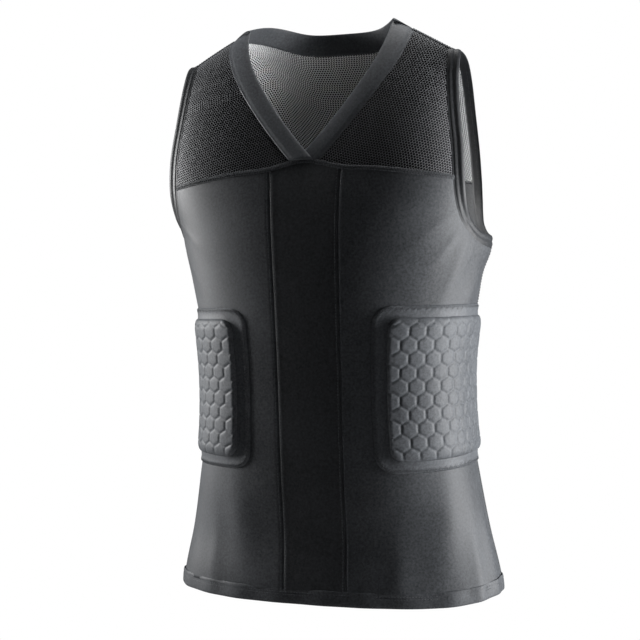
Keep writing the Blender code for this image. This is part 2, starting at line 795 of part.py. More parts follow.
def hex_pads(pad_spot):
    """The foam: hexagons that stand up between grooves, on a base that follows the body."""
    base = KNIT_THICKNESS + LAYER_GAP + POCKET_THICKNESS + PAD_GAP
    floor = base + PAD_THICKNESS - GROOVE_DEPTH
    top = base + PAD_THICKNESS
    for side, name in ((1, "hex_pad_left"), (-1, "hex_pad_right")):
        made = bmesh.new()

        def point(p, q, lift):
            azimuth, rise = pad_spot(p, q)
            spot = (side * azimuth, rise)
            return made.verts.new(form_point(*spot) + form_normal(*spot) * lift)

        for cell in pad_cells():
            cx = sum(p for p, _ in cell) / len(cell)
            cy = sum(q for _, q in cell) / len(cell)
            share = 1 - GROOVE_WIDTH / CELL_WIDTH
            rim = [point(cx + (p - cx) * share, cy + (q - cy) * share, top) for p, q in cell]
            groove = [point(p, q, floor) for p, q in cell]
            under = [point(p, q, base) for p, q in cell]
            made.faces.new(rim)
            made.faces.new(reversed(under))
            for i in range(len(cell)):
                j = (i + 1) % len(cell)
                made.faces.new((groove[i], groove[j], rim[j], rim[i]))
        bmesh.ops.remove_doubles(made, verts=made.verts, dist=1e-5)
        edges = [e for e in made.edges if len(e.link_faces) == 1]
        bmesh.ops.bridge_loops(made, edges=edges)
        bmesh.ops.recalc_face_normals(made, faces=made.faces)
        mesh = bpy.data.meshes.new(name)
        made.to_mesh(mesh)
        made.free()
        add_object(name, mesh, PAD_KNIT)


def build():
    for obj in list(bpy.data.objects):
        bpy.data.objects.remove(obj)
    centre_front_panel()
    front_side_panels()
    back_panel()
    front_yokes()
    back_yoke()
    neckband()
    armhole_bindings()
    hem_band()
    pad_spot = pad_spot_maker()
    pockets(pad_spot)
    hex_pads(pad_spot)


build()
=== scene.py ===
# %% [markdown]
# # Dressing a padded sleeveless shirt
# The solids of the shirt are plain walls with plain edges. This lesson gives each one its real
# finish: smooth stretch knit, open mesh, folded bands, stitched seams and hexagon foam.
# Every finished piece takes the place of the solid that it stands for.

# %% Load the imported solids
import math
from collections import namedtuple

import bpy
import numpy as np
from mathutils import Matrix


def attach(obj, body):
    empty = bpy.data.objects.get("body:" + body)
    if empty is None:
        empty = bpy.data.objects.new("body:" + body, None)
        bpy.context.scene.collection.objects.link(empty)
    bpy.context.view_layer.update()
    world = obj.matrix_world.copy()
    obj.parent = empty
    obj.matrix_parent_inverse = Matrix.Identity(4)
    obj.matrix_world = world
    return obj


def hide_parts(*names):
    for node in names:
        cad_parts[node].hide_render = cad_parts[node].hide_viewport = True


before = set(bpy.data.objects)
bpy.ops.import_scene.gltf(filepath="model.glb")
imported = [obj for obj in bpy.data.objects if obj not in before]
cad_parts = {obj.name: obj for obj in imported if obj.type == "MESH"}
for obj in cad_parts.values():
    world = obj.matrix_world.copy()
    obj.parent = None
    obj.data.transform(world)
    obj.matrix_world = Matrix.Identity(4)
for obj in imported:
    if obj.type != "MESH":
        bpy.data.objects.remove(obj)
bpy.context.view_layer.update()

# %% [markdown]
# ## The body form
# The shirt is shown filled out and drawn tight, so all its cloth lies on one smooth form. It
# could be sculpted, but a form that is worked out from a few sections can be asked for any point
# on it, and so every seam, stitch and pad finds its place by itself. A place on it is an azimuth,
# in degrees round the body from the centre front, and a rise: 0 at the hem, 1 at the chest line
# and 2 at the shoulder ridge.

# %% The form's sizes, in metres and degrees
BODY_LENGTH = 0.680
CHEST_DROP = 0.253
CHEST_HALF_WIDTH = 0.178
CHEST_FRONT_DEPTH = 0.116
CHEST_BACK_DEPTH = 0.105
HEM_SIDE_RISE = 0.008
HEM_DIP = 0.006
HEM_DIP_AZIMUTH = 48.0
HEM_DIP_SPREAD = 34.0
RIDGE_FORWARD = 0.026
SHOULDER_FORWARD = 0.015
SHOULDER_SLOPE = math.radians(30)
SLOPE_START = 0.078
RIDGE_SOFTNESS = 0.012
RIDGE_FADE_RISE = 0.35
FRONT_ARCH = 1.50
BACK_ARCH = 2.6
TALL = BODY_LENGTH - CHEST_DROP

Section = namedtuple("Section", "rise width front back squareness")
SECTIONS = (
    Section(0.00, 1.105, 0.84, 1.02, 2.3),
    Section(0.06, 1.080, 0.84, 1.02, 2.3),
    Section(0.17, 1.019, 0.82, 0.99, 2.3),
    Section(0.31, 0.957, 0.87, 0.92, 2.4),
    Section(0.45, 0.904, 0.90, 0.86, 2.5),
    Section(0.60, 0.894, 0.92, 0.86, 2.5),
    Section(0.73, 0.919, 0.95, 0.91, 2.5),
    Section(0.87, 0.965, 0.98, 0.97, 2.6),
    Section(1.00, 1.000, 1.00, 1.00, 2.8),
    Section(1.20, 1.050, 1.02, 1.02, 3.1),
    Section(1.50, 1.030, 1.02, 1.02, 3.2),
    Section(2.00, 1.010, 1.00, 1.00, 3.2),
)
print("sections:", len(SECTIONS), "height above the chest line:", CHEST_DROP)


def column(name, place):
    """One column of the sections, on a smooth curve through its rows."""
    keys = np.array([row.rise for row in SECTIONS])
    values = np.array([getattr(row, name) for row in SECTIONS])
    slopes = np.empty_like(values)
    slopes[1:-1] = (values[2:] - values[:-2]) / (keys[2:] - keys[:-2])
    slopes[0] = (values[1] - values[0]) / (keys[1] - keys[0])
    slopes[-1] = (values[-1] - values[-2]) / (keys[-1] - keys[-2])
    place = np.clip(place, keys[0], keys[-1])
    i = np.clip(np.searchsorted(keys, place, side="right") - 1, 0, len(keys) - 2)
    span = keys[i + 1] - keys[i]
    t = (place - keys[i]) / span
    start = (1 + 2 * t) * (1 - t) ** 2 * values[i] + t * (1 - t) ** 2 * span * slopes[i]
    return start + t * t * (3 - 2 * t) * values[i + 1] + t * t * (t - 1) * span * slopes[i + 1]


# %% [markdown]
# ## Folds and dents
# Cloth that is drawn tight still has soft folds that run from the armholes to the sides, and small
# wrinkles near the seams. They could be simulated, but a few smooth bumps in a table are easier to
# place and never change. Each has a place, a length, a width and a height as shares of the chest's
# half width, and a lean from upright in degrees.

# %% Soft folds and dents
Fold = namedtuple("Fold", "azimuth rise length width lean height")
FOLDS = (
    Fold(62, 0.90, 0.253, 0.067, 28, 0.0090),
    Fold(78, 0.84, 0.225, 0.079, 40, 0.0079),
    Fold(-66, 0.90, 0.281, 0.079, -24, 0.0101),
    Fold(-30, 0.22, 0.309, 0.112, -12, 0.0124),
    Fold(52, 0.20, 0.337, 0.124, 16, 0.0124),
    Fold(84, 0.12, 0.281, 0.101, 6, 0.0112),
    Fold(150, 0.55, 0.281, 0.101, 70, 0.0101),
    Fold(-152, 0.42, 0.309, 0.101, -68, 0.0101),
    Fold(-64, 1.24, 0.674, 0.337, 0, 0.0365),
    Fold(62, 1.60, 0.840, 0.390, 0, -0.0360),
    Fold(-82, 0.89, 0.337, 0.337, 0, -0.0400),
    Fold(118, 1.35, 0.840, 0.450, 0, -0.0250),
    Fold(84, 0.85, 0.281, 0.337, 0, 0.0300),
)
WRINKLES = (
    Fold(47, 1.00, 0.225, 0.034, 52, 0.0034),
    Fold(56, 0.96, 0.202, 0.028, 44, 0.0039),
    Fold(70, 0.93, 0.169, 0.028, 30, 0.0034),
    Fold(-50, 1.00, 0.225, 0.034, -50, 0.0034),
    Fold(-60, 0.95, 0.191, 0.028, -40, 0.0034),
    Fold(-42, 0.10, 0.281, 0.067, -6, 0.0067),
    Fold(30, 0.08, 0.253, 0.073, 8, 0.0067),
    Fold(66, 0.07, 0.253, 0.067, 10, 0.0067),
    Fold(6, 0.30, 0.337, 0.056, 84, -0.0028),
    Fold(120, 0.62, 0.225, 0.039, 60, 0.0045),
    Fold(-120, 0.58, 0.225, 0.039, -60, 0.0045),
    Fold(176, 0.50, 0.337, 0.056, 86, 0.0056),
    Fold(184, 0.36, 0.281, 0.056, 95, 0.0051),
    Fold(140, 1.02, 0.225, 0.045, -40, 0.0056),
    Fold(-140, 1.02, 0.225, 0.045, 40, 0.0056),
)
SIDE_SEAM_AZIMUTH = 95.0
ARMHOLE_FLOOR_RISE = 0.96
ARMPIT_FLARE = 0.011
ARMPIT_FLARE_WIDTH = 22.0
ARMPIT_FLARE_HEIGHT = 0.024


def smooth_step(t):
    """A smooth climb from 0 to 1."""
    t = np.clip(t, 0.0, 1.0)
    return t * t * (3 - 2 * t)


def bell(away, place, width):
    """A smooth hump of height 1, round a place."""
    return np.exp(-(((away - place) / width) ** 2))


def turn_from(azimuth, centre):
    """Degrees from a centre, between -180 and 180."""
    return (azimuth - centre + 180) % 360 - 180


def fold_height(azimuth, rise, table=FOLDS):
    """How far the folds of a table stand out, and with the main one the armpit's flare."""
    azimuth = turn_from(azimuth, 0)
    total = np.zeros(np.broadcast(azimuth, rise).shape)
    for fold in table:
        across = np.radians(turn_from(azimuth, fold.azimuth))
        up = (rise - fold.rise) * TALL / CHEST_HALF_WIDTH
        lean = math.radians(fold.lean)
        side = across * math.cos(lean) - up * math.sin(lean)
        along = across * math.sin(lean) + up * math.cos(lean)
        hump = np.exp(-((side / fold.width) ** 2) - (along / fold.length) ** 2)
        total = total + fold.height * hump
    total = total * CHEST_HALF_WIDTH * smooth_step((2 - rise) / RIDGE_FADE_RISE)
    if table is FOLDS:
        away = (abs(azimuth) - SIDE_SEAM_AZIMUTH) / ARMPIT_FLARE_WIDTH
        above = (rise - ARMHOLE_FLOOR_RISE) * TALL / ARMPIT_FLARE_HEIGHT
        total = total + ARMPIT_FLARE * np.exp(-away * away - above * above)
    return total


print("folds:", len(FOLDS), "wrinkles:", len(WRINKLES))

# %% The form itself, and its outward direction
SHOULDER_HALF_WIDTH = 0.157


def ridge_height(x):
    """The shoulder ridge's height at an x: level beside the neck, and then sloping down."""
    past = (abs(x) - SLOPE_START) / RIDGE_SOFTNESS
    return -math.tan(SHOULDER_SLOPE) * RIDGE_SOFTNESS * np.log1p(np.exp(past))


def ridge_y(x):
    """The shoulder ridge's y at an x: further forward towards its end."""
    return -RIDGE_FORWARD - SHOULDER_FORWARD * smooth_step(abs(x) / SHOULDER_HALF_WIDTH)


def corner_reach(turn, squareness):
    """What makes a circle of turns into a square with round corners, when divided by it."""
    sine, cosine = abs(np.sin(turn)), abs(np.cos(turn))
    return (sine**squareness + cosine**squareness) ** (1 / squareness)


def form(azimuth, rise):
    """Points of the form, an array with x, y and z last, for arrays of azimuth and rise."""
    azimuth, rise = np.broadcast_arrays(np.asarray(azimuth, float), np.asarray(rise, float))
    turn = np.radians(azimuth)
    corner = corner_reach(turn, column("squareness", rise))
    front = CHEST_FRONT_DEPTH * column("front", rise)
    back = CHEST_BACK_DEPTH * column("back", rise)
    x = CHEST_HALF_WIDTH * column("width", rise) * np.sin(turn) / corner
    y = -np.where(np.cos(turn) > 0, front, back) * np.cos(turn) / corner
    dip = HEM_DIP * bell(turn_from(azimuth, HEM_DIP_AZIMUTH), 0, HEM_DIP_SPREAD)
    hem = -BODY_LENGTH + HEM_SIDE_RISE * np.sin(turn) ** 2 - dip
    arch = FRONT_ARCH + (BACK_ARCH - FRONT_ARCH) * (1 - np.cos(turn)) / 2
    lean = np.radians(90) * np.clip(rise - 1, 0, 1)
    level, upright = np.maximum(np.cos(lean), 0), np.sin(lean)
    bend = (upright**arch + level**arch) ** (1 / arch)
    shoulder = ridge_height(x) - ridge_height(0.0)
    high = -CHEST_DROP + (shoulder + CHEST_DROP) * upright / bend
    z = np.where(rise <= 1, hem + (-CHEST_DROP - hem) * rise, high)
    y = np.where(rise <= 1, y, ridge_y(x) + (y - ridge_y(x)) * level / bend)
    out = fold_height(azimuth, rise) + fold_height(azimuth, rise, WRINKLES)
    return np.stack([x + out * np.sin(turn), y - out * np.cos(turn), z], axis=-1)


def unit(vectors):
    return vectors / np.maximum(np.linalg.norm(vectors, axis=-1, keepdims=True), 1e-12)


def outward(azimuth, rise):
    """The form's outward direction, square to two short steps on it."""
    azimuth, rise = np.broadcast_arrays(np.asarray(azimuth, float), np.asarray(rise, float))
    high = np.minimum(rise + 0.01, 2.0)
    across = form(azimuth + 1, rise) - form(azimuth - 1, rise)
    return unit(np.cross(across, form(azimuth, high) - form(azimuth, high - 0.02)))


chest_steps = np.diff(form(np.arange(361), 1.0), axis=0)
print("chest girth:", round(float(np.linalg.norm(chest_steps, axis=1).sum()), 3))

# %% [markdown]
# ## The seam lines
# A shirt is cut as flat panels, and its shape comes from where they are sewn together. Each seam
# is written once, as a function that runs along it, and the panels on both sides ask the same
# function for their edge, so that they always meet.

# %% Seams of the front, yokes, neck and armholes
CENTRE_HALF_WIDTH = 0.0375
CENTRE_TOP_WIDENING = 0.0055
YOKE_SEAM_RISE = 1.19
YOKE_PEAK_RISE = 0.033
YOKE_PEAK_WIDTH = 0.034
V_RISE = YOKE_SEAM_RISE + YOKE_PEAK_RISE
NECK_HALF_WIDTH = 0.111
NECK_FRONT_SHARPNESS = 2.35
NECK_BACK_RISE = 1.630
NECK_BACK_SQUARENESS = 4.0
BAND_END_HALF_WIDTH = 0.014
ARMHOLE_CORNER_RISE = 1.29
ARMHOLE_FRONT_AZIMUTH = 53.0
ARMHOLE_BACK_AZIMUTH = 133.0
ARMHOLE_CORNER = 2.7
HEM_BAND_HEIGHT = 0.014
HEM_TOP_RISE = HEM_BAND_HEIGHT / TALL


def azimuth_at(x, rise, back=False):
    """The azimuth at which the form has that x, on its front or its back."""
    n = column("squareness", rise)
    share = np.minimum(abs(x) / (CHEST_HALF_WIDTH * column("width", rise)), 0.9999) ** n
    turn = np.degrees(np.arctan((share / (1 - share)) ** (1 / n)))
    return np.copysign(180 - turn if back else turn, x)


def centre_seam(rise):
    """The azimuth of the left centre seam, which spreads towards its top."""
    spread = CENTRE_TOP_WIDENING * (rise / YOKE_SEAM_RISE) ** 4
    return azimuth_at(CENTRE_HALF_WIDTH + spread, rise)


def yoke_seam(azimuth):
    """The rise of the seam under the yokes, which peaks below the V."""
    turn = np.radians(azimuth)
    corner = corner_reach(turn, column("squareness", YOKE_SEAM_RISE))
    x = CHEST_HALF_WIDTH * column("width", YOKE_SEAM_RISE) * np.sin(turn) / corner
    peak = YOKE_PEAK_RISE * bell(x, 0, YOKE_PEAK_WIDTH)
    return YOKE_SEAM_RISE + np.where(abs(azimuth) < 90, peak, 0.0)


def neckline_front(t):
    """The left front neckline, from the V at 0 to the shoulder ridge at 1."""
    rise = V_RISE + (2 - V_RISE) * t
    share = 1 - (1 - t) ** NECK_FRONT_SHARPNESS
    x = BAND_END_HALF_WIDTH + (NECK_HALF_WIDTH - BAND_END_HALF_WIDTH) * share
    return azimuth_at(x, rise), rise


def neckline_back(t):
    """The back neckline, from the left shoulder ridge at 0 to the right one at 1."""
    x = NECK_HALF_WIDTH * np.cos(math.pi * t)
    share = (abs(x) / NECK_HALF_WIDTH) ** NECK_BACK_SQUARENESS
    rise = NECK_BACK_RISE + (2 - NECK_BACK_RISE) * share
    return azimuth_at(x, rise, back=True) % 360, rise


def armhole(t):
    """The left armhole: -1 at the ridge in front, 0 at its floor and 1 at the ridge behind."""
    t = np.asarray(t, float)
    behind = t > 0
    ridge = np.where(behind, azimuth_at(SHOULDER_HALF_WIDTH, 2.0, back=True),
                     azimuth_at(SHOULDER_HALF_WIDTH, 2.0))
    edge = np.where(behind, ARMHOLE_BACK_AZIMUTH, ARMHOLE_FRONT_AZIMUTH)
    turn = np.radians(90) * np.minimum(abs(t) / 0.5, 1)
    aside = np.sin(turn) ** (2 / ARMHOLE_CORNER)
    up = 1 - np.maximum(np.cos(turn), 0.0) ** (2 / ARMHOLE_CORNER)
    above = np.maximum(abs(t) - 0.5, 0) / 0.5
    rise = ARMHOLE_FLOOR_RISE + (ARMHOLE_CORNER_RISE - ARMHOLE_FLOOR_RISE) * up
    rise = rise + (2 - ARMHOLE_CORNER_RISE) * above
    azimuth = SIDE_SEAM_AZIMUTH + (edge - SIDE_SEAM_AZIMUTH) * aside
    return azimuth + (ridge - edge) * smooth_step(above), rise


def armhole_at_rise(rise, behind):
    """Where along the armhole a rise is reached, in front or behind."""
    t = np.linspace(0, 1, 2001) * (1 if behind else -1)
    return float(np.interp(rise, armhole(t)[1], t))


FRONT_YOKE_END = armhole_at_rise(YOKE_SEAM_RISE, False)
BACK_YOKE_END = armhole_at_rise(YOKE_SEAM_RISE, True)
print("yoke seam meets the armhole at", round(FRONT_YOKE_END, 3), round(BACK_YOKE_END, 3))

# %% [markdown]
# ## From seams to panels
# Four seams round a panel are enough to fill it with an even net of points: each point is blended
# from its opposite edges. This is done in azimuth and rise, so the points can't leave the form.
# The panel's UV map is measured along the cloth in metres, so that weave and mesh keep one size.

# %% Grids between four edges
def patch(bottom, right, top, left, columns, rows):
    """Azimuth and rise, as arrays of rows by columns, between four edge functions."""
    u = np.linspace(0, 1, columns + 1)[None, :]
    v = np.linspace(0, 1, rows + 1)[:, None]
    spots = []
    for k in (0, 1):
        low, high = np.asarray(bottom(u)[k]), np.asarray(top(u)[k])
        near, far = np.asarray(left(v)[k]), np.asarray(right(v)[k])
        low, high = np.broadcast_to(low, u.shape), np.broadcast_to(high, u.shape)
        near, far = np.broadcast_to(near, v.shape), np.broadcast_to(far, v.shape)
        corners = (low[:, :1] * (1 - u) + low[:, -1:] * u) * (1 - v)
        corners = corners + (high[:, :1] * (1 - u) + high[:, -1:] * u) * v
        spots.append(low * (1 - v) + high * v + near * (1 - u) + far * u - corners)
    return spots[0], spots[1]


def distances(points, axis):
    """How far along its row or column each point of a grid lies, in metres."""
    steps = np.linalg.norm(np.diff(points, axis=axis), axis=-1)
    return np.insert(np.cumsum(steps, axis=axis), 0, 0.0, axis=axis)


def mirrored(azimuth, rise):
    """The same grid on the shirt's right, with columns reversed so that it still faces out."""
    return -azimuth[:, ::-1], rise[:, ::-1]


def grid_faces(rows, columns, round_rows=False, round_columns=False):
    """The quads of a grid of points, which may close on itself either way."""
    i = np.arange(columns if round_columns else columns - 1)
    j = np.arange(rows if round_rows else rows - 1)[:, None]
    beside, above = (i + 1) % columns, (j + 1) % rows
    quads = (j * columns + i, j * columns + beside, above * columns + beside, above * columns + i)
    return np.stack(quads, axis=-1).reshape(-1, 4)


# %% Meshes from grids
def link(name, data):
    """A new object in the scene, at the origin."""
    made = bpy.data.objects.new(name, data)
    bpy.context.scene.collection.objects.link(made)
    return made


def add_piece(name, points, faces, material, uv):
    """A smooth mesh object with a UV map in metres."""
    mesh = bpy.data.meshes.new(name)
    faces = faces if isinstance(faces, list) else faces.tolist()
    mesh.from_pydata(points.reshape(-1, 3).tolist(), [], faces)
    mesh.shade_smooth()
    corners = np.empty(len(mesh.loops), dtype=np.int32)
    mesh.loops.foreach_get("vertex_index", corners)
    layer = mesh.uv_layers.new(name="UVMap")
    layer.uv.foreach_set("vector", uv.reshape(-1, 2)[corners].astype(np.float32).ravel())
    mesh.materials.append(material)
    return link(name, mesh)


def flat_area(piece):
    """The area of one layer of a piece, in square metres."""
    return sum(face.area for face in piece.data.polygons)


def thicken(piece, thickness):
    """Give a sheet its wall, outward from the form."""
    wall = piece.modifiers.new("wall", "SOLIDIFY")
    wall.thickness = thickness
    wall.offset = 1


print("a grid of 3 by 3 points has", len(grid_faces(3, 3)), "faces")

# %% [markdown]
# ## The knit
# The body is a smooth stretch knit, black and almost matt. Up close it shows fine ribs of
# stitches, and from further off slight clouds where the cloth is stretched more or less. A photo
# of cloth would show one place only, so the pattern is worked out from the UV map instead.

# %% A helper for nodes, in materials and in node trees alike
def set_inputs(tree, node, inputs):
    """Set or link a node's inputs, by name or number. A node stands for its first output."""
    for key, value in inputs.items():
        if isinstance(value, bpy.types.Node):
            value = value.outputs[0]
        if isinstance(value, bpy.types.NodeSocket):
            tree.links.new(value, node.inputs[key])
        else:
            node.inputs[key].default_value = value
    return node


def add_node(tree, kind, inputs=None, **settings):
    node = tree.nodes.new(kind)
    for key, value in settings.items():
        setattr(node, key, value)
    return set_inputs(tree, node, inputs or {})


def new_material(name):
    """A material, its node tree and its main shader."""
    material = bpy.data.materials.new(name)
    material.use_nodes = True
    return material, material.node_tree, material.node_tree.nodes["Principled BSDF"]


def two_tones(tree, value, places, colours):
    """A ramp from one colour to another, between two places in a value's range."""
    ramp = add_node(tree, "ShaderNodeValToRGB", {"Fac": value})
    for element, place, colour in zip(ramp.color_ramp.elements, places, colours):
        element.position = place
        element.color = (*colour, 1)
    return ramp


# %% The knit's recipe
CLOUD_NOISE = {"Scale": 9.0, "Detail": 4.0, "Roughness": 0.6}
SPECK_NOISE = {"Scale": 380.0, "Detail": 3.0, "Roughness": 0.7}
SPECK_SHARE = 0.68
SPECK_RELIEF = 0.9
TONE_RANGE = (0.34, 0.66)
ROUGHNESS_RANGE = (-0.05, 0.07)
WALE_SCALE, COURSE_SCALE = 0.5, 0.7
KNIT_RELIEF = 0.0003
KNIT_GLOSS = 0.15


def knit_material(name, colour, cloud, roughness=0.55, rib=0.0009, bump=0.14):
    """A knit: ribs of stitches across the UV map, and specks and clouds of tone."""
    material, tree, shader = new_material(name)
    place = add_node(tree, "ShaderNodeTexCoord").outputs
    clouds, specks = (
        add_node(tree, "ShaderNodeTexNoise", {"Vector": place["Object"], **noise}).outputs["Fac"]
        for noise in (CLOUD_NOISE, SPECK_NOISE)
    )
    shares = {"Factor": SPECK_SHARE, "A": clouds, "B": specks}
    tone = add_node(tree, "ShaderNodeMix", shares, data_type="FLOAT")
    rough = add_node(tree, "ShaderNodeMapRange", {
        "Value": tone, "From Min": TONE_RANGE[0], "From Max": TONE_RANGE[1],
        "To Min": roughness + ROUGHNESS_RANGE[0], "To Max": roughness + ROUGHNESS_RANGE[1]})
    scaled = add_node(tree, "ShaderNodeMapping", {"Vector": place["UV"], "Scale": (1 / rib,) * 3})
    wales, courses = (
        add_node(tree, "ShaderNodeTexWave", {"Vector": scaled, "Scale": scale},
                 bands_direction=direction, wave_profile="SIN").outputs["Fac"]
        for direction, scale in (("X", WALE_SCALE), ("Y", COURSE_SCALE))
    )
    loops = add_node(tree, "ShaderNodeMath", {0: wales, 1: courses}, operation="MULTIPLY")
    grain = add_node(
        tree, "ShaderNodeMath", {0: specks, 1: SPECK_RELIEF, 2: loops}, operation="MULTIPLY_ADD")
    relief = {"Height": grain, "Strength": bump, "Distance": KNIT_RELIEF}
    set_inputs(tree, shader, {
        "Base Color": two_tones(tree, tone, TONE_RANGE, (colour, cloud)),
        "Roughness": rough,
        "Normal": add_node(tree, "ShaderNodeBump", relief),
        "Specular IOR Level": KNIT_GLOSS,
    })
    return material


# %% The knits and the thread
BLACK_KNIT = knit_material("stretch_knit", (0.0135, 0.0145, 0.0162), (0.042, 0.045, 0.0495))
CENTRE_KNIT = knit_material("centre_knit", (0.008, 0.0086, 0.0096), (0.027, 0.029, 0.032))
HEM_KNIT = knit_material("hem_knit", (0.014, 0.0151, 0.0168), (0.046, 0.049, 0.054))
# The pad cover is the same knit as the body, with its colour painted lighter: painted light for the
# side light that falls on the pads.
PAD_KNIT = knit_material("pad_knit_painted_lighter", (0.022, 0.0237, 0.0264), (0.062, 0.0665, 0.073), bump=0.16)
BAND_KNIT = knit_material(
    "satin_band", (0.028, 0.030, 0.033), (0.062, 0.066, 0.072), 0.50, 0.0008, 0.10)
BINDING_KNIT = knit_material(
    "binding_knit", (0.006, 0.0065, 0.0072), (0.020, 0.0215, 0.024), 0.50, 0.0008, 0.10)
THREAD = knit_material(
    "sewing_thread", (0.020, 0.0215, 0.024), (0.066, 0.070, 0.077), 0.60, 0.0004, 0.10)
print("knits:", [material.name for material in bpy.data.materials])

# %% The mesh of the yokes, and its inner side, whose thread is painted pale as painted light
MESH_EDGE_RANGE = (0.15, 0.75)
MESH_GLOSS = 0.35


def mesh_material(name, thread, between):
    """Pale thread between the holes, and painted shade in them: their sunk middles are dark, by the
    attribute that marks the holes.
    """
    material, tree, shader = new_material(name)
    hole = add_node(tree, "ShaderNodeAttribute", attribute_name="hole").outputs["Fac"]
    rough = {"Value": hole, "To Min": 0.5, "To Max": 0.95}
    set_inputs(tree, shader, {
        "Base Color": two_tones(tree, hole, MESH_EDGE_RANGE, (thread, between)),
        "Roughness": add_node(tree, "ShaderNodeMapRange", rough),
        "Specular IOR Level": MESH_GLOSS,
    })
    return material


# In both meshes the last colour is painted shade in the holes, for the dark that is seen through
# them.
OPEN_MESH = mesh_material("open_mesh", (0.090, 0.094, 0.101), (0.002, 0.002, 0.0025))
# The inner side is the same black mesh. Its thread is painted near white, as painted light for the
# lit inside of the back.
PAINTED_LIGHT_MESH_INSIDE = mesh_material("open_mesh_inside_painted_light", (0.84, 0.85, 0.86), (0.02, 0.0205, 0.022))
print("meshes:", OPEN_MESH.name, PAINTED_LIGHT_MESH_INSIDE.name)

# %% [markdown]
# ## The knit panels
# Four panels make the body: the narrow centre front, the two side fronts that run round to the
# side seams, and the back. Near a seam the cloth is pulled down into a small groove and puckers
# in fine ripples, which is what makes a seam look sewn rather than drawn.

# %% Relief beside a seam
KNIT_THICKNESS = 0.0012
SEAM_DIP, SEAM_DIP_WIDTH = 0.0009, 0.0014
SEAM_WELT, WELT_PLACE, WELT_WIDTH = 0.00012, 0.0036, 0.0024
PUCKER, PUCKER_PLACE, PUCKER_REACH = 0.00010, 0.003, 0.005
PUCKER_LENGTH = 0.0072
PUCKER_WANDER, WANDER_PACE = 2.1, 61


def seam_relief(away, along, pucker=1.0):
    """Height beside a seam: a groove on it, a soft welt beside it, and ripples along it."""
    wander = PUCKER_WANDER * np.sin(along * WANDER_PACE)
    ripple = PUCKER * pucker * np.sin(along * 2 * math.pi / PUCKER_LENGTH + wander)
    groove = -SEAM_DIP * bell(away, 0, SEAM_DIP_WIDTH)
    welt = SEAM_WELT * bell(away, WELT_PLACE, WELT_WIDTH)
    return groove + welt * pucker + ripple * bell(away, PUCKER_PLACE, PUCKER_REACH)


def knit_panel(name, azimuth, rise, seams, material=BLACK_KNIT):
    """A panel of knit on the form, with relief beside the edges that are named in seams."""
    ground = form(azimuth, rise)
    across, up = distances(ground, 1), distances(ground, 0)
    sides = {
        "left": (across, up),
        "right": (across[:, -1:] - across, up),
        "top": (up[-1:] - up, across),
    }
    relief = sum(seam_relief(*sides[side]) for side in seams)
    points = ground + outward(azimuth, rise) * relief[..., None]
    uv = np.stack([across - across[:, -1:] / 2, up], axis=-1)
    piece = add_piece(name, points, grid_faces(*azimuth.shape), material, uv)
    area = flat_area(piece)
    thicken(piece, KNIT_THICKNESS)
    print(name, "triangles:", 4 * azimuth.size, "area:", round(area, 4))
    return piece, (float(across[:, -1].max()), float(up[-1].max())), area


# %% The centre front panel
def straight(start, end):
    """An edge that runs evenly from one azimuth and rise to another."""
    return lambda t: tuple(a + (b - a) * t for a, b in zip(start, end))


CORNER_RISE = float(yoke_seam(centre_seam(YOKE_SEAM_RISE)))
CENTRE_FOOT = float(centre_seam(HEM_TOP_RISE))
CENTRE_GRID = (30, 170)


def centre_top(u):
    azimuth = centre_seam(YOKE_SEAM_RISE) * (2 * u - 1)
    return azimuth, yoke_seam(azimuth)


def left_edge(v):
    """The left centre seam, from the hem band up to the yoke seam."""
    rise = HEM_TOP_RISE + (YOKE_SEAM_RISE - HEM_TOP_RISE) * v
    return centre_seam(rise), rise + (CORNER_RISE - YOKE_SEAM_RISE) * v


def right_edge(v):
    azimuth, rise = left_edge(v)
    return -azimuth, rise


centre_foot = straight((-CENTRE_FOOT, HEM_TOP_RISE), (CENTRE_FOOT, HEM_TOP_RISE))
centre_spots = patch(centre_foot, left_edge, centre_top, right_edge, *CENTRE_GRID)
centre_front = knit_panel("centre_front", *centre_spots, ("left", "right", "top"), CENTRE_KNIT)

# %% The side fronts, from the centre seam round to the side seam
SEAM_SHARE = 7 / 12
SIDE_GRID = (72, 156)
FRONT_ARM_AZIMUTH = float(armhole(FRONT_YOKE_END)[0])


def side_front_top(u):
    """Along the yoke seam first, and then down the armhole to its floor."""
    start = centre_seam(YOKE_SEAM_RISE)
    azimuth = start + (FRONT_ARM_AZIMUTH - start) * u / SEAM_SHARE
    down = np.clip((u - SEAM_SHARE) / (1 - SEAM_SHARE), 0, 1)
    arm_azimuth, arm_rise = armhole(FRONT_YOKE_END * (1 - down))
    on_seam = u < SEAM_SHARE
    rise = np.where(on_seam, yoke_seam(azimuth), arm_rise)
    return np.where(on_seam, azimuth, arm_azimuth), rise


SIDE_FOOT, SIDE_TOP = (SIDE_SEAM_AZIMUTH, HEM_TOP_RISE), (SIDE_SEAM_AZIMUTH, ARMHOLE_FLOOR_RISE)
side_edge = straight(SIDE_FOOT, SIDE_TOP)
side_foot = straight((CENTRE_FOOT, HEM_TOP_RISE), SIDE_FOOT)
side_spots = patch(side_foot, side_edge, side_front_top, left_edge, *SIDE_GRID)
side_front_left = knit_panel("side_front_left", *side_spots, ("left", "right"))
side_front_right = knit_panel("side_front_right", *mirrored(*side_spots), ("left", "right"))

# %% The back
ARM_SHARE = 5 / 18
BACK_GRID = (120, 156)
BACK_ARM_AZIMUTH = float(armhole(BACK_YOKE_END)[0])


def both_halves(edge):
    """An edge across the back: its left half, and the same one mirrored."""
    def whole(u):
        azimuth, rise = edge(np.where(u > 0.5, 1 - u, u))
        return np.where(u > 0.5, 360 - azimuth, azimuth), rise
    return whole


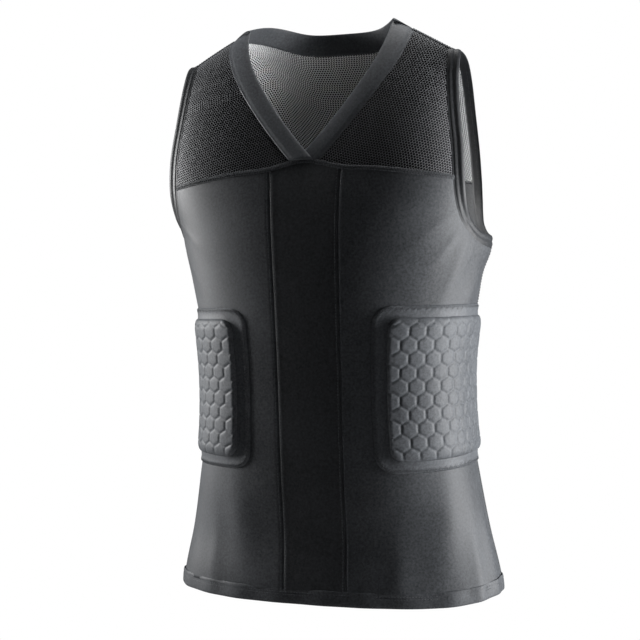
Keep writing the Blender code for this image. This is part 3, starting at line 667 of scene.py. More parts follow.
@both_halves
def back_top(half):
    """Up the armhole first, and then along the back yoke's seam."""
    share = (half - ARM_SHARE) / (1 - 2 * ARM_SHARE)
    up = BACK_YOKE_END * np.clip(half / ARM_SHARE, 0, 1)
    arm_azimuth, arm_rise = armhole(np.maximum(up, 1e-9))
    on_arm = half < ARM_SHARE
    azimuth = BACK_ARM_AZIMUTH + (360 - 2 * BACK_ARM_AZIMUTH) * share
    return np.where(on_arm, arm_azimuth, azimuth), np.where(on_arm, arm_rise, YOKE_SEAM_RISE)


def far(edge):
    """The same edge on the right, counted on round the back."""
    def moved(v):
        azimuth, rise = edge(v)
        return 360 - azimuth, rise
    return moved


back_foot = straight(SIDE_FOOT, (360 - SIDE_SEAM_AZIMUTH, HEM_TOP_RISE))
back_spots = patch(back_foot, far(side_edge), back_top, side_edge, *BACK_GRID)
back = knit_panel("back", *back_spots, ("left", "right"))

# %% [markdown]
# ## The mesh yokes
# The upper chest, the shoulders and the upper back are mesh: a net of fine threads with holes
# about two millimetres wide. Nobody would model thousands of holes by hand. Geometry Nodes lay
# a flat sheet of hexagons, sink the middle of each one, and wrap the sheet onto the yoke by
# looking up each point in the yoke's own UV map.

# %% Helpers for node trees
def new_tree(name, sizes):
    """A geometry node tree with named inputs for its sizes and its material."""
    tree = bpy.data.node_groups.new(name, "GeometryNodeTree")
    for way in ("INPUT", "OUTPUT"):
        tree.interface.new_socket(name="Geometry", in_out=way, socket_type="NodeSocketGeometry")
    for label, value in sizes.items():
        socket = tree.interface.new_socket(name=label, socket_type="NodeSocketFloat")
        socket.default_value = value
    tree.interface.new_socket(name="Material", socket_type="NodeSocketMaterial")
    return tree, tree.nodes.new("NodeGroupInput").outputs


def close_tree(tree, given, geometry):
    """End a tree: its instances are made real, and its material is set."""
    real = add_node(tree, "GeometryNodeRealizeInstances", {0: geometry})
    dressed = add_node(
        tree, "GeometryNodeSetMaterial", {0: real, "Material": given["Material"]})
    add_node(tree, "NodeGroupOutput", {0: dressed})
    return tree


def made_by_nodes(guide, tree, values, name, material):
    """The tree's result on a guide, as a plain mesh object. The guide is deleted."""
    values = {**values, "Material": material}
    modifier = guide.modifiers.new(tree.name, "NODES")
    modifier.node_group = tree
    for item in tree.interface.items_tree:
        if item.in_out == "INPUT" and item.name in values:
            modifier[item.identifier] = values[item.name]
    graph = bpy.context.evaluated_depsgraph_get()
    mesh = bpy.data.meshes.new_from_object(
        guide.evaluated_get(graph), preserve_all_data_layers=True, depsgraph=graph)
    bpy.data.objects.remove(guide)
    mesh.name = name
    mesh.materials.clear()
    mesh.materials.append(material)
    mesh.calc_loop_triangles()
    print(name, "triangles:", len(mesh.loop_triangles))
    return link(name, mesh)


# %% The net's node tree
ROW_SHARE = 0.8660254


def net_tree():
    """Hexagons laid flat, trimmed to the guide, sunk in their middles, and wrapped onto it."""
    tree, given = new_tree("net_of_hexagons", {
        "Width": 0.3, "Height": 0.2, "Pitch": 0.003, "Hole Share": 0.6, "Depth": 0.0006})

    def add(kind, inputs=None, **settings):
        return add_node(tree, kind, inputs, **settings)

    def maths(operation, a, b=0.0):
        return add("ShaderNodeMath", {0: a, 1: b}, operation=operation).outputs[0]

    row_pitch = maths("MULTIPLY", given["Pitch"], ROW_SHARE)
    columns = maths("CEIL", maths("DIVIDE", given["Width"], given["Pitch"]))
    rows = maths("CEIL", maths("DIVIDE", given["Height"], row_pitch))
    sheet = add("GeometryNodeMeshGrid", {
        "Size X": maths("MULTIPLY", columns, given["Pitch"]),
        "Size Y": maths("MULTIPLY", rows, row_pitch),
        "Vertices X": maths("ADD", columns, 1.0),
        "Vertices Y": maths("ADD", rows, 1.0),
    })
    place = add("GeometryNodeInputPosition")
    height = add("ShaderNodeSeparateXYZ", {0: place}).outputs["Y"]
    row = maths("ROUND", maths("DIVIDE", height, row_pitch))
    half_pitch = maths("MULTIPLY", given["Pitch"], 0.5)
    shift = maths("MULTIPLY", maths("FLOORED_MODULO", row, 2.0), half_pitch)
    offset = add("ShaderNodeCombineXYZ", {0: shift})
    staggered = add("GeometryNodeSetPosition", {"Geometry": sheet, "Offset": offset})
    triangles = add("GeometryNodeTriangulate", {0: staggered}, quad_method="SHORTEST_DIAGONAL")
    hexagons = add("GeometryNodeDualMesh", {0: triangles})
    uv = add("GeometryNodeInputNamedAttribute", {"Name": "UVMap"}, data_type="FLOAT_VECTOR")

    def looked_up(value):
        """A value of the guide's, found at this place in the guide's UV map."""
        search = {"Mesh": given["Geometry"], "Value": value, "UV Map": uv, "Sample UV": place}
        return add("GeometryNodeSampleUVSurface", search, data_type="FLOAT_VECTOR").outputs

    outside = add("FunctionNodeBooleanMath", {0: looked_up(place)["Is Valid"]}, operation="NOT")
    trimmed = add("GeometryNodeDeleteGeometry", {0: hexagons, "Selection": outside}, domain="POINT")
    sunk = add(
        "GeometryNodeExtrudeMesh", {"Mesh": trimmed, "Offset Scale": 0.0, "Individual": True},
        mode="FACES")
    middle = sunk.outputs["Top"]
    smaller = add(
        "GeometryNodeScaleElements", {0: sunk, "Selection": middle, "Scale": given["Hole Share"]},
        domain="FACE")
    marked = add(
        "GeometryNodeStoreNamedAttribute", {"Geometry": smaller, "Name": "hole", "Value": middle},
        data_type="FLOAT", domain="POINT")
    mapped = add(
        "GeometryNodeStoreNamedAttribute", {"Geometry": marked, "Name": "UVMap", "Value": place},
        data_type="FLOAT2", domain="CORNER")
    hole = add("GeometryNodeInputNamedAttribute", {"Name": "hole"}, data_type="FLOAT")
    depth = maths("MULTIPLY", maths("MULTIPLY", hole, given["Depth"]), -1.0)
    away = looked_up(add("GeometryNodeInputNormal"))["Value"]
    wrapped = add("GeometryNodeSetPosition", {
        "Geometry": mapped,
        "Position": looked_up(place)["Value"],
        "Offset": add("ShaderNodeVectorMath", {0: away, "Scale": depth}, operation="SCALE"),
    })
    return close_tree(tree, given, wrapped)


NET = net_tree()
print("net nodes:", len(NET.nodes))

# %% A yoke of mesh
NET_PITCH = 0.0033
NET_HOLE_SHARE, INNER_HOLE_SHARE = 0.70, 0.56
NET_DEPTH = 0.0006
NET_LIFT = 0.0012
NET_MARGIN = 0.01
EDGE_GROWTH = 0.5
RIDGE_NEAR = 1.96


def grown(values, below_ridge):
    """The grid's values with its edges moved out a little, apart from those on the ridge."""
    larger = values.copy()
    larger[0] += EDGE_GROWTH * (values[0] - values[1])
    larger[-1] += EDGE_GROWTH * (values[-1] - values[-2]) * below_ridge[-1]
    larger[:, 0] += EDGE_GROWTH * (larger[:, 0] - larger[:, 1]) * below_ridge[:, 0]
    larger[:, -1] += EDGE_GROWTH * (larger[:, -1] - larger[:, -2]) * below_ridge[:, -1]
    return larger


def net_yoke(name, azimuth, rise, lift=NET_LIFT, material=OPEN_MESH, hole_share=NET_HOLE_SHARE):
    """A yoke of mesh: a plain guide sheet on the form, and the net that the nodes wrap onto it.

    The guide runs on a little way under the seams, so that the net's ragged edge is hidden."""
    below_ridge = rise < RIDGE_NEAR
    azimuth, rise = grown(azimuth, below_ridge), grown(rise, below_ridge)
    points = form(azimuth, rise) + outward(azimuth, rise) * lift
    across, up = distances(points, 1), distances(points, 0)
    uv = np.stack([across - across[:, -1:] / 2, up - up[-1:] / 2], axis=-1)
    guide = add_piece(name + "_guide", points, grid_faces(*azimuth.shape), material, uv)
    width, height = float(across[:, -1].max()), float(up[-1].max())
    area = flat_area(guide)
    net = made_by_nodes(guide, NET, {
        "Width": width + NET_MARGIN, "Height": height + NET_MARGIN,
        "Pitch": NET_PITCH, "Hole Share": hole_share, "Depth": NET_DEPTH}, name, material)
    net.data.shade_smooth()
    return net, (width, height), area


# %% The front yokes
FRONT_YOKE_GRID = (40, 56)
V_AZIMUTH, V_SEAM_RISE = float(neckline_front(0.0)[0]), float(yoke_seam(neckline_front(0.0)[0]))


def front_yoke_bottom(u):
    azimuth = V_AZIMUTH + (FRONT_ARM_AZIMUTH - V_AZIMUTH) * u
    return azimuth, yoke_seam(azimuth)


def front_yoke_neck(v):
    azimuth, rise = neckline_front(v)
    return azimuth, rise + (V_SEAM_RISE - V_RISE) * (1 - v)


def front_yoke_arm(v):
    return armhole(FRONT_YOKE_END + (-1 - FRONT_YOKE_END) * v)


front_yoke_top = straight((float(neckline_front(1.0)[0]), 2.0), (float(armhole(-1.0)[0]), 2.0))
front_yoke_spots = patch(
    front_yoke_bottom, front_yoke_arm, front_yoke_top, front_yoke_neck, *FRONT_YOKE_GRID)
front_yoke_left = net_yoke("front_yoke_net_left", *front_yoke_spots)
front_yoke_right = net_yoke("front_yoke_net_right", *mirrored(*front_yoke_spots))

# %% The back yoke, and its inner side with columns reversed so that it faces in, its thread painted pale as painted light
SHOULDER_SHARE = 3 / 16
BACK_YOKE_GRID = (112, 64)


@both_halves
def back_yoke_top(half):
    """Along the shoulder ridge first, and then along the neckline."""
    start, end = float(armhole(1.0)[0]), float(neckline_back(0.0)[0])
    share = np.clip((half - SHOULDER_SHARE) / (1 - 2 * SHOULDER_SHARE), 0, 1)
    neck_azimuth, neck_rise = neckline_back(share)
    on_ridge = half < SHOULDER_SHARE
    azimuth = start + (end - start) * half / SHOULDER_SHARE
    return np.where(on_ridge, azimuth, neck_azimuth), np.where(on_ridge, 2.0, neck_rise)


def back_yoke_side(v):
    return armhole(BACK_YOKE_END + (1 - BACK_YOKE_END) * v)


back_yoke_bottom = straight(
    (BACK_ARM_AZIMUTH, YOKE_SEAM_RISE), (360 - BACK_ARM_AZIMUTH, YOKE_SEAM_RISE))
back_yoke_spots = patch(
    back_yoke_bottom, far(back_yoke_side), back_yoke_top, back_yoke_side, *BACK_YOKE_GRID)
back_yoke = net_yoke("back_yoke_net", *back_yoke_spots)
back_yoke_inner = net_yoke(
    "back_yoke_inner_side", *(grid[:, ::-1] for grid in back_yoke_spots),
    0.0, PAINTED_LIGHT_MESH_INSIDE, INNER_HOLE_SHARE)[0]

# %% [markdown]
# ## Bands and bindings
# The neck, the armholes and the hem are finished with strips of knit folded over the raw edge.
# A folded strip is thicker than the cloth, rounded at its free edge and pressed flat where the
# needle goes through. One function sweeps a cross section along any edge of the form.

# %% Sweep a folded strip along an edge
BAND_THICKNESS = 0.0020
BAND_OVERLAP = -0.0030
FOLD_TURN = 0.002


def tangents(line, closed):
    """The direction of a line at each of its points."""
    if closed:
        return unit(np.roll(line, -1, axis=0) - np.roll(line, 1, axis=0))
    return unit(np.gradient(line, axis=0))


def ribbon(name, spots, widths, section, material, skews=0.0, lifts=0.0, stands=0.0,
           toward=(0, 0, 1), start=BAND_OVERLAP, closed=False):
    """A strip along spots of the form. Its section is a ring of (share of the width, height).

    skews move its free edge along the line, lifts raise it, and stands turn it toward a
    direction. The part that overlaps the panel stays on the panel."""
    line, off_cloth = form(*spots), outward(*spots)
    along = tangents(line, closed)
    along_cloth = unit(np.cross(off_cloth, along))
    widths, skews, lifts, stands = (
        np.broadcast_to(value, spots[0].shape)[:, None] for value in (widths, skews, lifts, stands))
    across = unit(along_cloth * (1 - stands) + np.array(toward, float) * stands)
    across = unit(across - along * np.sum(across * along, axis=1, keepdims=True))
    out = np.cross(along, across)
    share, height = np.array(section).T
    reach = start + (widths - start) * share
    over = np.minimum(reach, 0)[..., None]
    points = line[:, None] + across[:, None] * (reach[..., None] - over)
    points = points + along_cloth[:, None] * over + along[:, None] * (skews * reach)[..., None]
    turn = smooth_step(reach / FOLD_TURN + 0.5)[..., None]
    lifted = out[:, None] * turn + off_cloth[:, None] * (1 - turn)
    points = points + lifted * (KNIT_THICKNESS / 2 + height + lifts)[..., None]
    count, ring = reach.shape
    faces = grid_faces(count, ring, closed, True).tolist()
    if not closed:
        faces.append(list(range(ring - 1, -1, -1)))
        faces.append([(count - 1) * ring + k for k in range(ring)])
    gone = distances(line, 0)
    uv = np.stack([np.broadcast_to(gone[:, None], reach.shape), reach + height], axis=-1)
    piece = add_piece(name, points, faces, material, uv)
    print(name, "length:", round(float(gone[-1]), 3))
    return piece, (float(widths.mean() - start), float(gone[-1])), None


def folded_section(thickness, bulge, lines=(), steps=18):
    """A ring round a folded strip: rounded edges, a soft bulge, and raised or sunk lines."""
    share = (1 - np.cos(np.linspace(0, math.pi, steps))) / 2
    half = thickness / 2 * (1 - abs(2 * share - 1) ** 5) ** 0.5
    top = half + bulge * 4 * share * (1 - share)
    for place, width, height in lines:
        top = top + height * bell(share, place, width)
    return list(zip(share, top)) + list(zip(share[::-1][1:-1], -half[::-1][1:-1]))


# %% The neckband, one strip whose ends cross at the V
NECKBAND_FRONT_WIDTH, NECKBAND_BACK_WIDTH = 0.019, 0.025
NECKBAND_BULGE = 0.0007
NECKBAND_LINES = ((0.12, 0.05, -0.0005),)
NECKBAND_STAND = 0.8
BAND_SIDE_STEPS = 90
BAND_BACK_STEPS = 110
BAND_END_SHARE = 0.5
BAND_END_SKEW = 0.8
BAND_END_LIFT = 0.0030


def neckline():
    """The whole neckline from the V up the left side, round the back and down again."""
    side_azimuth, side_rise = neckline_front(np.linspace(0, 1, BAND_SIDE_STEPS + 1))
    back_azimuth, back_rise = neckline_back(np.linspace(0, 1, BAND_BACK_STEPS + 1)[1:-1])
    azimuth = np.concatenate([side_azimuth, back_azimuth, 360 - side_azimuth[::-1]])
    return azimuth, np.concatenate([side_rise, back_rise, side_rise[::-1]])


neck_spots = neckline()
place = np.arange(len(neck_spots[0]))
from_end = np.minimum(place, place[::-1])
side_share = smooth_step(from_end / BAND_SIDE_STEPS)
behind_share = smooth_step((from_end - BAND_SIDE_STEPS) / (BAND_BACK_STEPS / 2))
end_share = smooth_step(1 - from_end / (BAND_SIDE_STEPS * BAND_END_SHARE))
right_end = place > len(place) / 2
neckband = ribbon(
    "neckband_folded", neck_spots,
    NECKBAND_FRONT_WIDTH + (NECKBAND_BACK_WIDTH - NECKBAND_FRONT_WIDTH) * side_share,
    folded_section(BAND_THICKNESS, NECKBAND_BULGE, NECKBAND_LINES), BAND_KNIT,
    skews=np.where(right_end, BAND_END_SKEW, -BAND_END_SKEW) * end_share,
    lifts=np.where(right_end, BAND_END_LIFT, 0.0) * end_share,
    stands=NECKBAND_STAND * behind_share,
)

# %% The armhole bindings, each with two raised lines
BINDING_WIDTH = 0.012
BINDING_BULGE = 0.0002
BINDING_LINES = ((0.30, 0.10, 0.0005), (0.55, 0.05, -0.0004), (0.78, 0.10, 0.0005))
BINDING_FLARE = 0.5
FLARE_START, FLARE_REACH = 0.1, 0.4
ARM_STEPS = ((-1, -0.5, 60), (-0.5, 0.5, 150), (0.5, 1, 60))
SIDES = ((1, "left"), (-1, "right"))

arm_t = np.concatenate([np.linspace(*steps)[:-1] for steps in ARM_STEPS])
flare = BINDING_FLARE * smooth_step((abs(arm_t) - FLARE_START) / FLARE_REACH)
left_spots = armhole(arm_t)
arm_spots = {"left": left_spots, "right": (-left_spots[0][::-1], left_spots[1][::-1])}
binding_section = folded_section(BAND_THICKNESS, BINDING_BULGE, BINDING_LINES, 22)
bindings = [
    ribbon("armhole_binding_folded_" + word, arm_spots[word], BINDING_WIDTH, binding_section,
           BINDING_KNIT, stands=flare[::side], toward=(side, 0, 0), closed=True)
    for side, word in SIDES
]

# %% The turned-up hem, with a slight wave
HEM_OVERLAP = 0.0040
HEM_BULGE = 0.0001
HEM_LINES = ((0.70, 0.05, -0.0003),)
HEM_STEPS = 480
HEM_WAVES = ((0.0007, 9, 0), (0.0005, 23, 40))

hem_azimuth = np.linspace(0, 360, HEM_STEPS + 1)[:-1]
hem_wave = sum(
    height * np.sin(np.radians(hem_azimuth * count + shift)) for height, count, shift in HEM_WAVES)
hem_section = folded_section(BAND_THICKNESS, HEM_BULGE, HEM_LINES)
hem = ribbon("hem_folded", (hem_azimuth, 0 * hem_azimuth), HEM_BAND_HEIGHT + HEM_OVERLAP,
             hem_section, HEM_KNIT, lifts=hem_wave, start=0.0, closed=True)

# %% [markdown]
# ## The side pads
# Each side carries a block of foam under a stitched cover. The foam is cut into hexagons, and the
# cover is bonded down into the grooves between them. The cells are laid out flat, where hexagons
# are easy, and then wrapped round the body. A height above the cover is worked out for each
# point: high on a cell, low in a groove, and falling away in a round edge at the block's rim.

# %% The flat layout of a pad, wrapped round the form
PAD_TOP_DROP = 0.351
PAD_HEIGHT = 0.164
PAD_WIDTH = 0.192
PAD_FRONT_AZIMUTH = 32.0
PAD_CORNER_RADIUS = 0.016
PAD_EDGES = (0.0, PAD_WIDTH, 0.0, PAD_HEIGHT)
PAD_TOP_RISE = 1 - (PAD_TOP_DROP - CHEST_DROP) / TALL
AZIMUTH_STEP = 0.5


def pad_spot(p, q):
    """The azimuth and rise of a place on the flat pad: p back from its front edge, q down."""
    azimuth = PAD_FRONT_AZIMUTH + np.arange(0, 120, AZIMUTH_STEP)
    gone = distances(form(azimuth, PAD_TOP_RISE - PAD_HEIGHT / 2 / TALL), 0)
    ahead = PAD_FRONT_AZIMUTH + p * AZIMUTH_STEP / gone[1]
    return np.where(p < 0, ahead, np.interp(p, gone, azimuth)), PAD_TOP_RISE - q / TALL


def rounded_sheet(left, right, top, bottom, radius, step):
    """Flat p and q on a grid whose rows are drawn in to make four round corners."""
    q = np.linspace(bottom, top, int(round((bottom - top) / step)) + 1)[:, None]
    near = np.maximum(radius - np.minimum(q - top, bottom - q), 0)
    inset = radius - np.sqrt(np.maximum(radius**2 - near**2, 0))
    u = np.linspace(0, 1, int(round((right - left) / step)) + 1)[None, :]
    return left + inset + (right - left - 2 * inset) * u, q + 0 * u


def edge_distance(p, q, left, right, top, bottom, radius):
    """How far inside a rectangle with round corners a place is, negative outside."""
    dx = abs(p - (left + right) / 2) - (right - left) / 2 + radius
    dy = abs(q - (top + bottom) / 2) - (bottom - top) / 2 + radius
    corner = np.hypot(np.maximum(dx, 0), np.maximum(dy, 0))
    return radius - corner - np.minimum(np.maximum(dx, dy), 0)


def for_side(side, *grids):
    """The grids as they are, or with their columns reversed for the right side."""
    return grids if side > 0 else tuple(grid[:, ::-1] for grid in grids)


print("pad:", PAD_WIDTH, "by", PAD_HEIGHT, "top rise:", round(PAD_TOP_RISE, 3))

# %% The stitched cover
POCKET_FRONT_MARGIN = 0.016
POCKET_TOP_MARGIN = 0.012
POCKET_CORNER_RADIUS = PAD_CORNER_RADIUS + 0.004
POCKET_EDGES = (
    -POCKET_FRONT_MARGIN, PAD_WIDTH + POCKET_FRONT_MARGIN,
    -POCKET_TOP_MARGIN, PAD_HEIGHT + POCKET_TOP_MARGIN,
)
POCKET_STEP = 0.0016
POCKET_THICKNESS = 0.0010
POCKET_LIFT = KNIT_THICKNESS + 0.0004
POCKET_PUCKER = 1.8
TENT_HEIGHT = 0.0014
TENT_REACH = 0.0042


def pocket(name, side):
    """The cover, which rises like a tent towards the block's rim."""
    p, q = rounded_sheet(*POCKET_EDGES, POCKET_CORNER_RADIUS, POCKET_STEP)
    away = edge_distance(p, q, *POCKET_EDGES, POCKET_CORNER_RADIUS)
    azimuth, rise = pad_spot(p, q)
    azimuth, rise, p, q, away = for_side(side, side * azimuth, rise, p, q, away)
    block = edge_distance(p, q, *PAD_EDGES, PAD_CORNER_RADIUS)
    tent = TENT_HEIGHT * np.exp(np.minimum(block, 0) / TENT_REACH)
    relief = POCKET_LIFT + (seam_relief(away, p + q, POCKET_PUCKER) + tent)
    points = form(azimuth, rise) + outward(azimuth, rise) * relief[..., None]
    uv = np.stack([side * p, -q], axis=-1)
    piece = add_piece(name, points, grid_faces(*p.shape), PAD_KNIT, uv)
    area = flat_area(piece)
    thicken(piece, POCKET_THICKNESS)
    left, right, top, bottom = POCKET_EDGES
    return piece, (right - left, bottom - top), area


covers = [pocket("pad_cover_" + word, side) for side, word in SIDES]
print("pad covers, flat:", np.round(covers[0][1], 3).tolist())

# %% [markdown]
# ## The hexagon foam
# A foam block like this is moulded in one piece, with grooves along which it bends. Its grooves
# could be cut one by one, but each of them lies half way between two cells' centres. So for each
# point of the block the nearest centres tell how far off the nearest groove is. Slivers of cells
# at the front and rear edges are joined to the cell beside them, as on the real pad.

# %% How far the nearest groove is
CELL_WIDTH = 0.0182
CELL_ROW_PITCH = 1.5 * CELL_WIDTH / math.sqrt(3)
FIRST_CELL_SHARE = 0.78
SMALLEST_CELL_SHARE = 0.34
CELLS_PER_ROW = 100


def cell_centres():
    """The hexagons' centres, row by row, and for each the number of the cell it is part of."""
    centres, cells = [], []
    for row in range(-1, math.ceil(PAD_HEIGHT / CELL_ROW_PITCH) + 2):
        offset = (FIRST_CELL_SHARE - 0.5 + 0.5 * (row % 2)) * CELL_WIDTH
        columns = range(-2, math.ceil(PAD_WIDTH / CELL_WIDTH) + 2)
        across = [offset + column * CELL_WIDTH for column in columns]
        shown = [min(x + CELL_WIDTH / 2, PAD_WIDTH) - max(x - CELL_WIDTH / 2, 0) for x in across]
        seen = [k for k, width in enumerate(shown) if width > 0]
        first = seen[0] + (shown[seen[0]] < SMALLEST_CELL_SHARE * CELL_WIDTH)
        last = seen[-1] - (shown[seen[-1]] < SMALLEST_CELL_SHARE * CELL_WIDTH)
        for k, x in enumerate(across):
            centres.append((x, row * CELL_ROW_PITCH))
            cells.append(row * CELLS_PER_ROW + min(max(k, first), last))
    return np.array(centres), np.array(cells)


def groove_distance(p, q):
    """How far each place is from the nearest groove's middle."""
    centres, cells = cell_centres()
    spots = np.stack([p.ravel(), q.ravel()], axis=-1)
    away = ((spots[:, None] - centres[None]) ** 2).sum(axis=-1)
    own = np.argmin(away, axis=1)
    nearest = away[np.arange(len(spots)), own]
    apart = np.linalg.norm(centres[own][:, None] - centres[None], axis=-1)
    bisector = (away - nearest[:, None]) / (2 * np.maximum(apart, 1e-9))
    bisector[cells[own][:, None] == cells[None]] = 1.0
    return bisector.min(axis=1).reshape(p.shape)


print("cells of foam:", len(set(cell_centres()[1].tolist())))

# %% The foam blocks
BLOCK_STEP = 0.0013
BLOCK_BASE = KNIT_THICKNESS + 0.0012
BLOCK_FLOOR = BLOCK_BASE - 0.0004
BLOCK_HEIGHT = 0.0068
BLOCK_EDGE = 0.0042
BLOCK_SOFT_EDGE = 0.016
BLOCK_SOFT_START = 0.022
BLOCK_ROUNDNESS = 2.6
GROOVE_WIDTH = 0.0046
GROOVE_DEPTH = 0.0010
CELL_SOFTNESS = 0.8
DOME_HEIGHT, DOME_REACH = 0.0003, 0.005
ROWS_AT_ONCE = 8


def block_height(p, q):
    """Height above the block's base: a round rim, soft at the front, with grooves and domes."""
    rim = edge_distance(p, q, *PAD_EDGES, PAD_CORNER_RADIUS)
    groove = np.concatenate([
        groove_distance(p[k:k + ROWS_AT_ONCE], q[k:k + ROWS_AT_ONCE])
        for k in range(0, len(p), ROWS_AT_ONCE)
    ])
    rounding = BLOCK_EDGE + (BLOCK_SOFT_EDGE - BLOCK_EDGE) * smooth_step(p / BLOCK_SOFT_START)
    edge = (1 - (1 - np.clip(rim / rounding, 0, 1)) ** BLOCK_ROUNDNESS) ** 0.5
    cell = smooth_step(groove / (GROOVE_WIDTH / 2)) ** CELL_SOFTNESS
    dome = DOME_HEIGHT * (1 - np.exp(-groove / DOME_REACH))
    return BLOCK_HEIGHT * edge - GROOVE_DEPTH * (1 - cell) * edge + dome


def hex_block(name, side):
    """A closed block: its cut top, its floor and a skirt between their rims."""
    p, q = rounded_sheet(*PAD_EDGES, PAD_CORNER_RADIUS, BLOCK_STEP)
    azimuth, rise = pad_spot(p, q)
    height = block_height(p, q)
    azimuth, rise, p, q, height = for_side(side, side * azimuth, rise, p, q, height)
    ground, out = form(azimuth, rise), outward(azimuth, rise)
    top = (ground + out * (BLOCK_BASE + height)[..., None]).reshape(-1, 3)
    under = (ground + out * BLOCK_FLOOR).reshape(-1, 3)
    numbers = np.arange(p.size).reshape(p.shape)
    rim = np.concatenate([
        numbers[0], numbers[1:, -1], numbers[-1, -2::-1], numbers[-2:0:-1, 0]])
    after = np.roll(rim, -1)
    skirt = np.stack([after, rim, rim + p.size, after + p.size], axis=-1)
    faces = grid_faces(*p.shape)
    faces = np.concatenate([faces, faces[:, ::-1] + p.size, skirt]).tolist()
    uv = np.stack([side * p, -q], axis=-1).reshape(-1, 2)
    piece = add_piece(
        name, np.concatenate([top, under]), faces, PAD_KNIT, np.concatenate([uv, uv]))
    print(name, "triangles:", 2 * len(faces))
    return piece


foam_blocks = [hex_block("hex_foam_" + word, side) for side, word in SIDES]

# %% [markdown]
# ## Seams and stitches
# Stretch cloth is joined with flat seams: two rows of stitches with threads crossing between
# them. One stitch is a small bead of thread, and Geometry Nodes lay thousands of them along the
# seam lines, turned to follow the line and the cloth under it.

# %% The stitches' node tree
def stitch_tree():
    """Beads along a guide line, leaning to one side and the other in turn."""
    tree, given = new_tree("stitches_on_a_line", {
        "Pitch": 0.003, "Length": 0.0022, "Width": 0.0006, "Height": 0.0005, "Lean": 0.0})

    def add(kind, inputs=None, **settings):
        return add_node(tree, kind, inputs, **settings)

    curves = add("GeometryNodeMeshToCurve", {0: given["Geometry"]})
    beads = add(
        "GeometryNodeCurveToPoints", {"Curve": curves, "Length": given["Pitch"]}, mode="LENGTH")
    up = add("GeometryNodeInputNamedAttribute", {"Name": "up"}, data_type="FLOAT_VECTOR")
    turned = add(
        "FunctionNodeAxesToRotation", {0: up, 1: beads.outputs["Tangent"]},
        primary_axis="Z", secondary_axis="X")
    index = add("GeometryNodeInputIndex")
    parity = add("ShaderNodeMath", {0: index, 1: 2.0}, operation="FLOORED_MODULO")
    sign = add("ShaderNodeMath", {0: parity, 1: 2.0, 2: -1.0}, operation="MULTIPLY_ADD")
    angle = add("ShaderNodeMath", {0: sign, 1: given["Lean"]}, operation="MULTIPLY")
    spin = add("FunctionNodeAxisAngleToRotation", {"Axis": (0.0, 0.0, 1.0), "Angle": angle})
    leaning = add("FunctionNodeRotateRotation", {0: turned, 1: spin}, rotation_space="LOCAL")
    bead = add("GeometryNodeMeshIcoSphere", {"Radius": 0.5, "Subdivisions": 1})
    size = add(
        "ShaderNodeCombineXYZ", {0: given["Length"], 1: given["Width"], 2: given["Height"]})
    shaped = add("GeometryNodeTransform", {"Geometry": bead, "Scale": size})
    smooth = add("GeometryNodeSetShadeSmooth", {0: shaped})
    laid = add(
        "GeometryNodeInstanceOnPoints", {"Points": beads, "Instance": smooth, "Rotation": leaning})
    return close_tree(tree, given, laid)


STITCH_NODES = stitch_tree()
print("stitch nodes:", len(STITCH_NODES.nodes))

# %% Rows of stitches beside a seam
Stitch = namedtuple("Stitch", "pitch length width height lean", defaults=(0.0,))
SEAM_STITCH = Stitch(0.0034, 0.0026, 0.0006, 0.0004)
TRIM_STITCH = Stitch(0.0032, 0.0025, 0.0006, 0.0005)
BINDING_STITCH = Stitch(0.0032, 0.0025, 0.0005, 0.0005)
COVER_STITCH = Stitch(0.0032, 0.0025, 0.0006, 0.0006)
SEAM_CROSSING = Stitch(0.0016, 0.0048, 0.0005, 0.0005, math.radians(66))
COVER_CROSSING = Stitch(0.0018, 0.0046, 0.0005, 0.0005, math.radians(64))
LINE_STEP = 0.003
trims = []


def resampled(spots, step=LINE_STEP, closed=False):
    """The same line of spots with even spacing on the form."""
    azimuth, rise = (np.asarray(a, float) for a in spots)
    if closed:
        turns = round((azimuth[-1] - azimuth[0]) / 360) * 360
        azimuth, rise = np.append(azimuth, azimuth[0] + turns), np.append(rise, rise[0])
    gone = distances(form(azimuth, rise), 0)
    even = np.linspace(0, gone[-1], max(int(gone[-1] / step), 4) + 1)
    if closed:
        even = even[:-1]
    return np.interp(even, gone, azimuth), np.interp(even, gone, rise)


def seam_rows(spots, offsets, lift, closed=False):
    """Guide lines beside a seam, one for each offset, as (points, upward directions, closed)."""
    line, out = form(*spots), outward(*spots)
    across = unit(np.cross(out, tangents(line, closed)))
    return [(line + across * offset + out * lift, out, closed) for offset in offsets]


def stitched(name, rows, stitch):
    """One piece of stitches laid on all the guide lines."""
    edges, first = [], 0
    for line, out, closed in rows:
        edges += [(first + k, first + k + 1) for k in range(len(line) - 1)]
        if closed:
            edges.append((first + len(line) - 1, first))
        first += len(line)
    mesh = bpy.data.meshes.new(name + "_guide")
    mesh.from_pydata(np.concatenate([row[0] for row in rows]).tolist(), edges, [])
    up = np.concatenate([row[1] for row in rows]).astype(np.float32)
    mesh.attributes.new("up", "FLOAT_VECTOR", "POINT").data.foreach_set("vector", up.ravel())
    sizes = dict(zip(("Pitch", "Length", "Width", "Height", "Lean"), stitch))
    piece = made_by_nodes(link(name + "_guide", mesh), STITCH_NODES, sizes, name, THREAD)
    trims.append(piece)


# %% Centre seams, side seams and hem
ROW_HALF_GAP = 0.0026
SEAM_STITCH_LIFT = KNIT_THICKNESS + 0.00045
HEM_STITCH_RISE = HEM_TOP_RISE - 0.0018 / TALL
HEM_ROW_HALF_GAP = 0.0014
FOLD_STITCH_LIFT = KNIT_THICKNESS + 0.0006

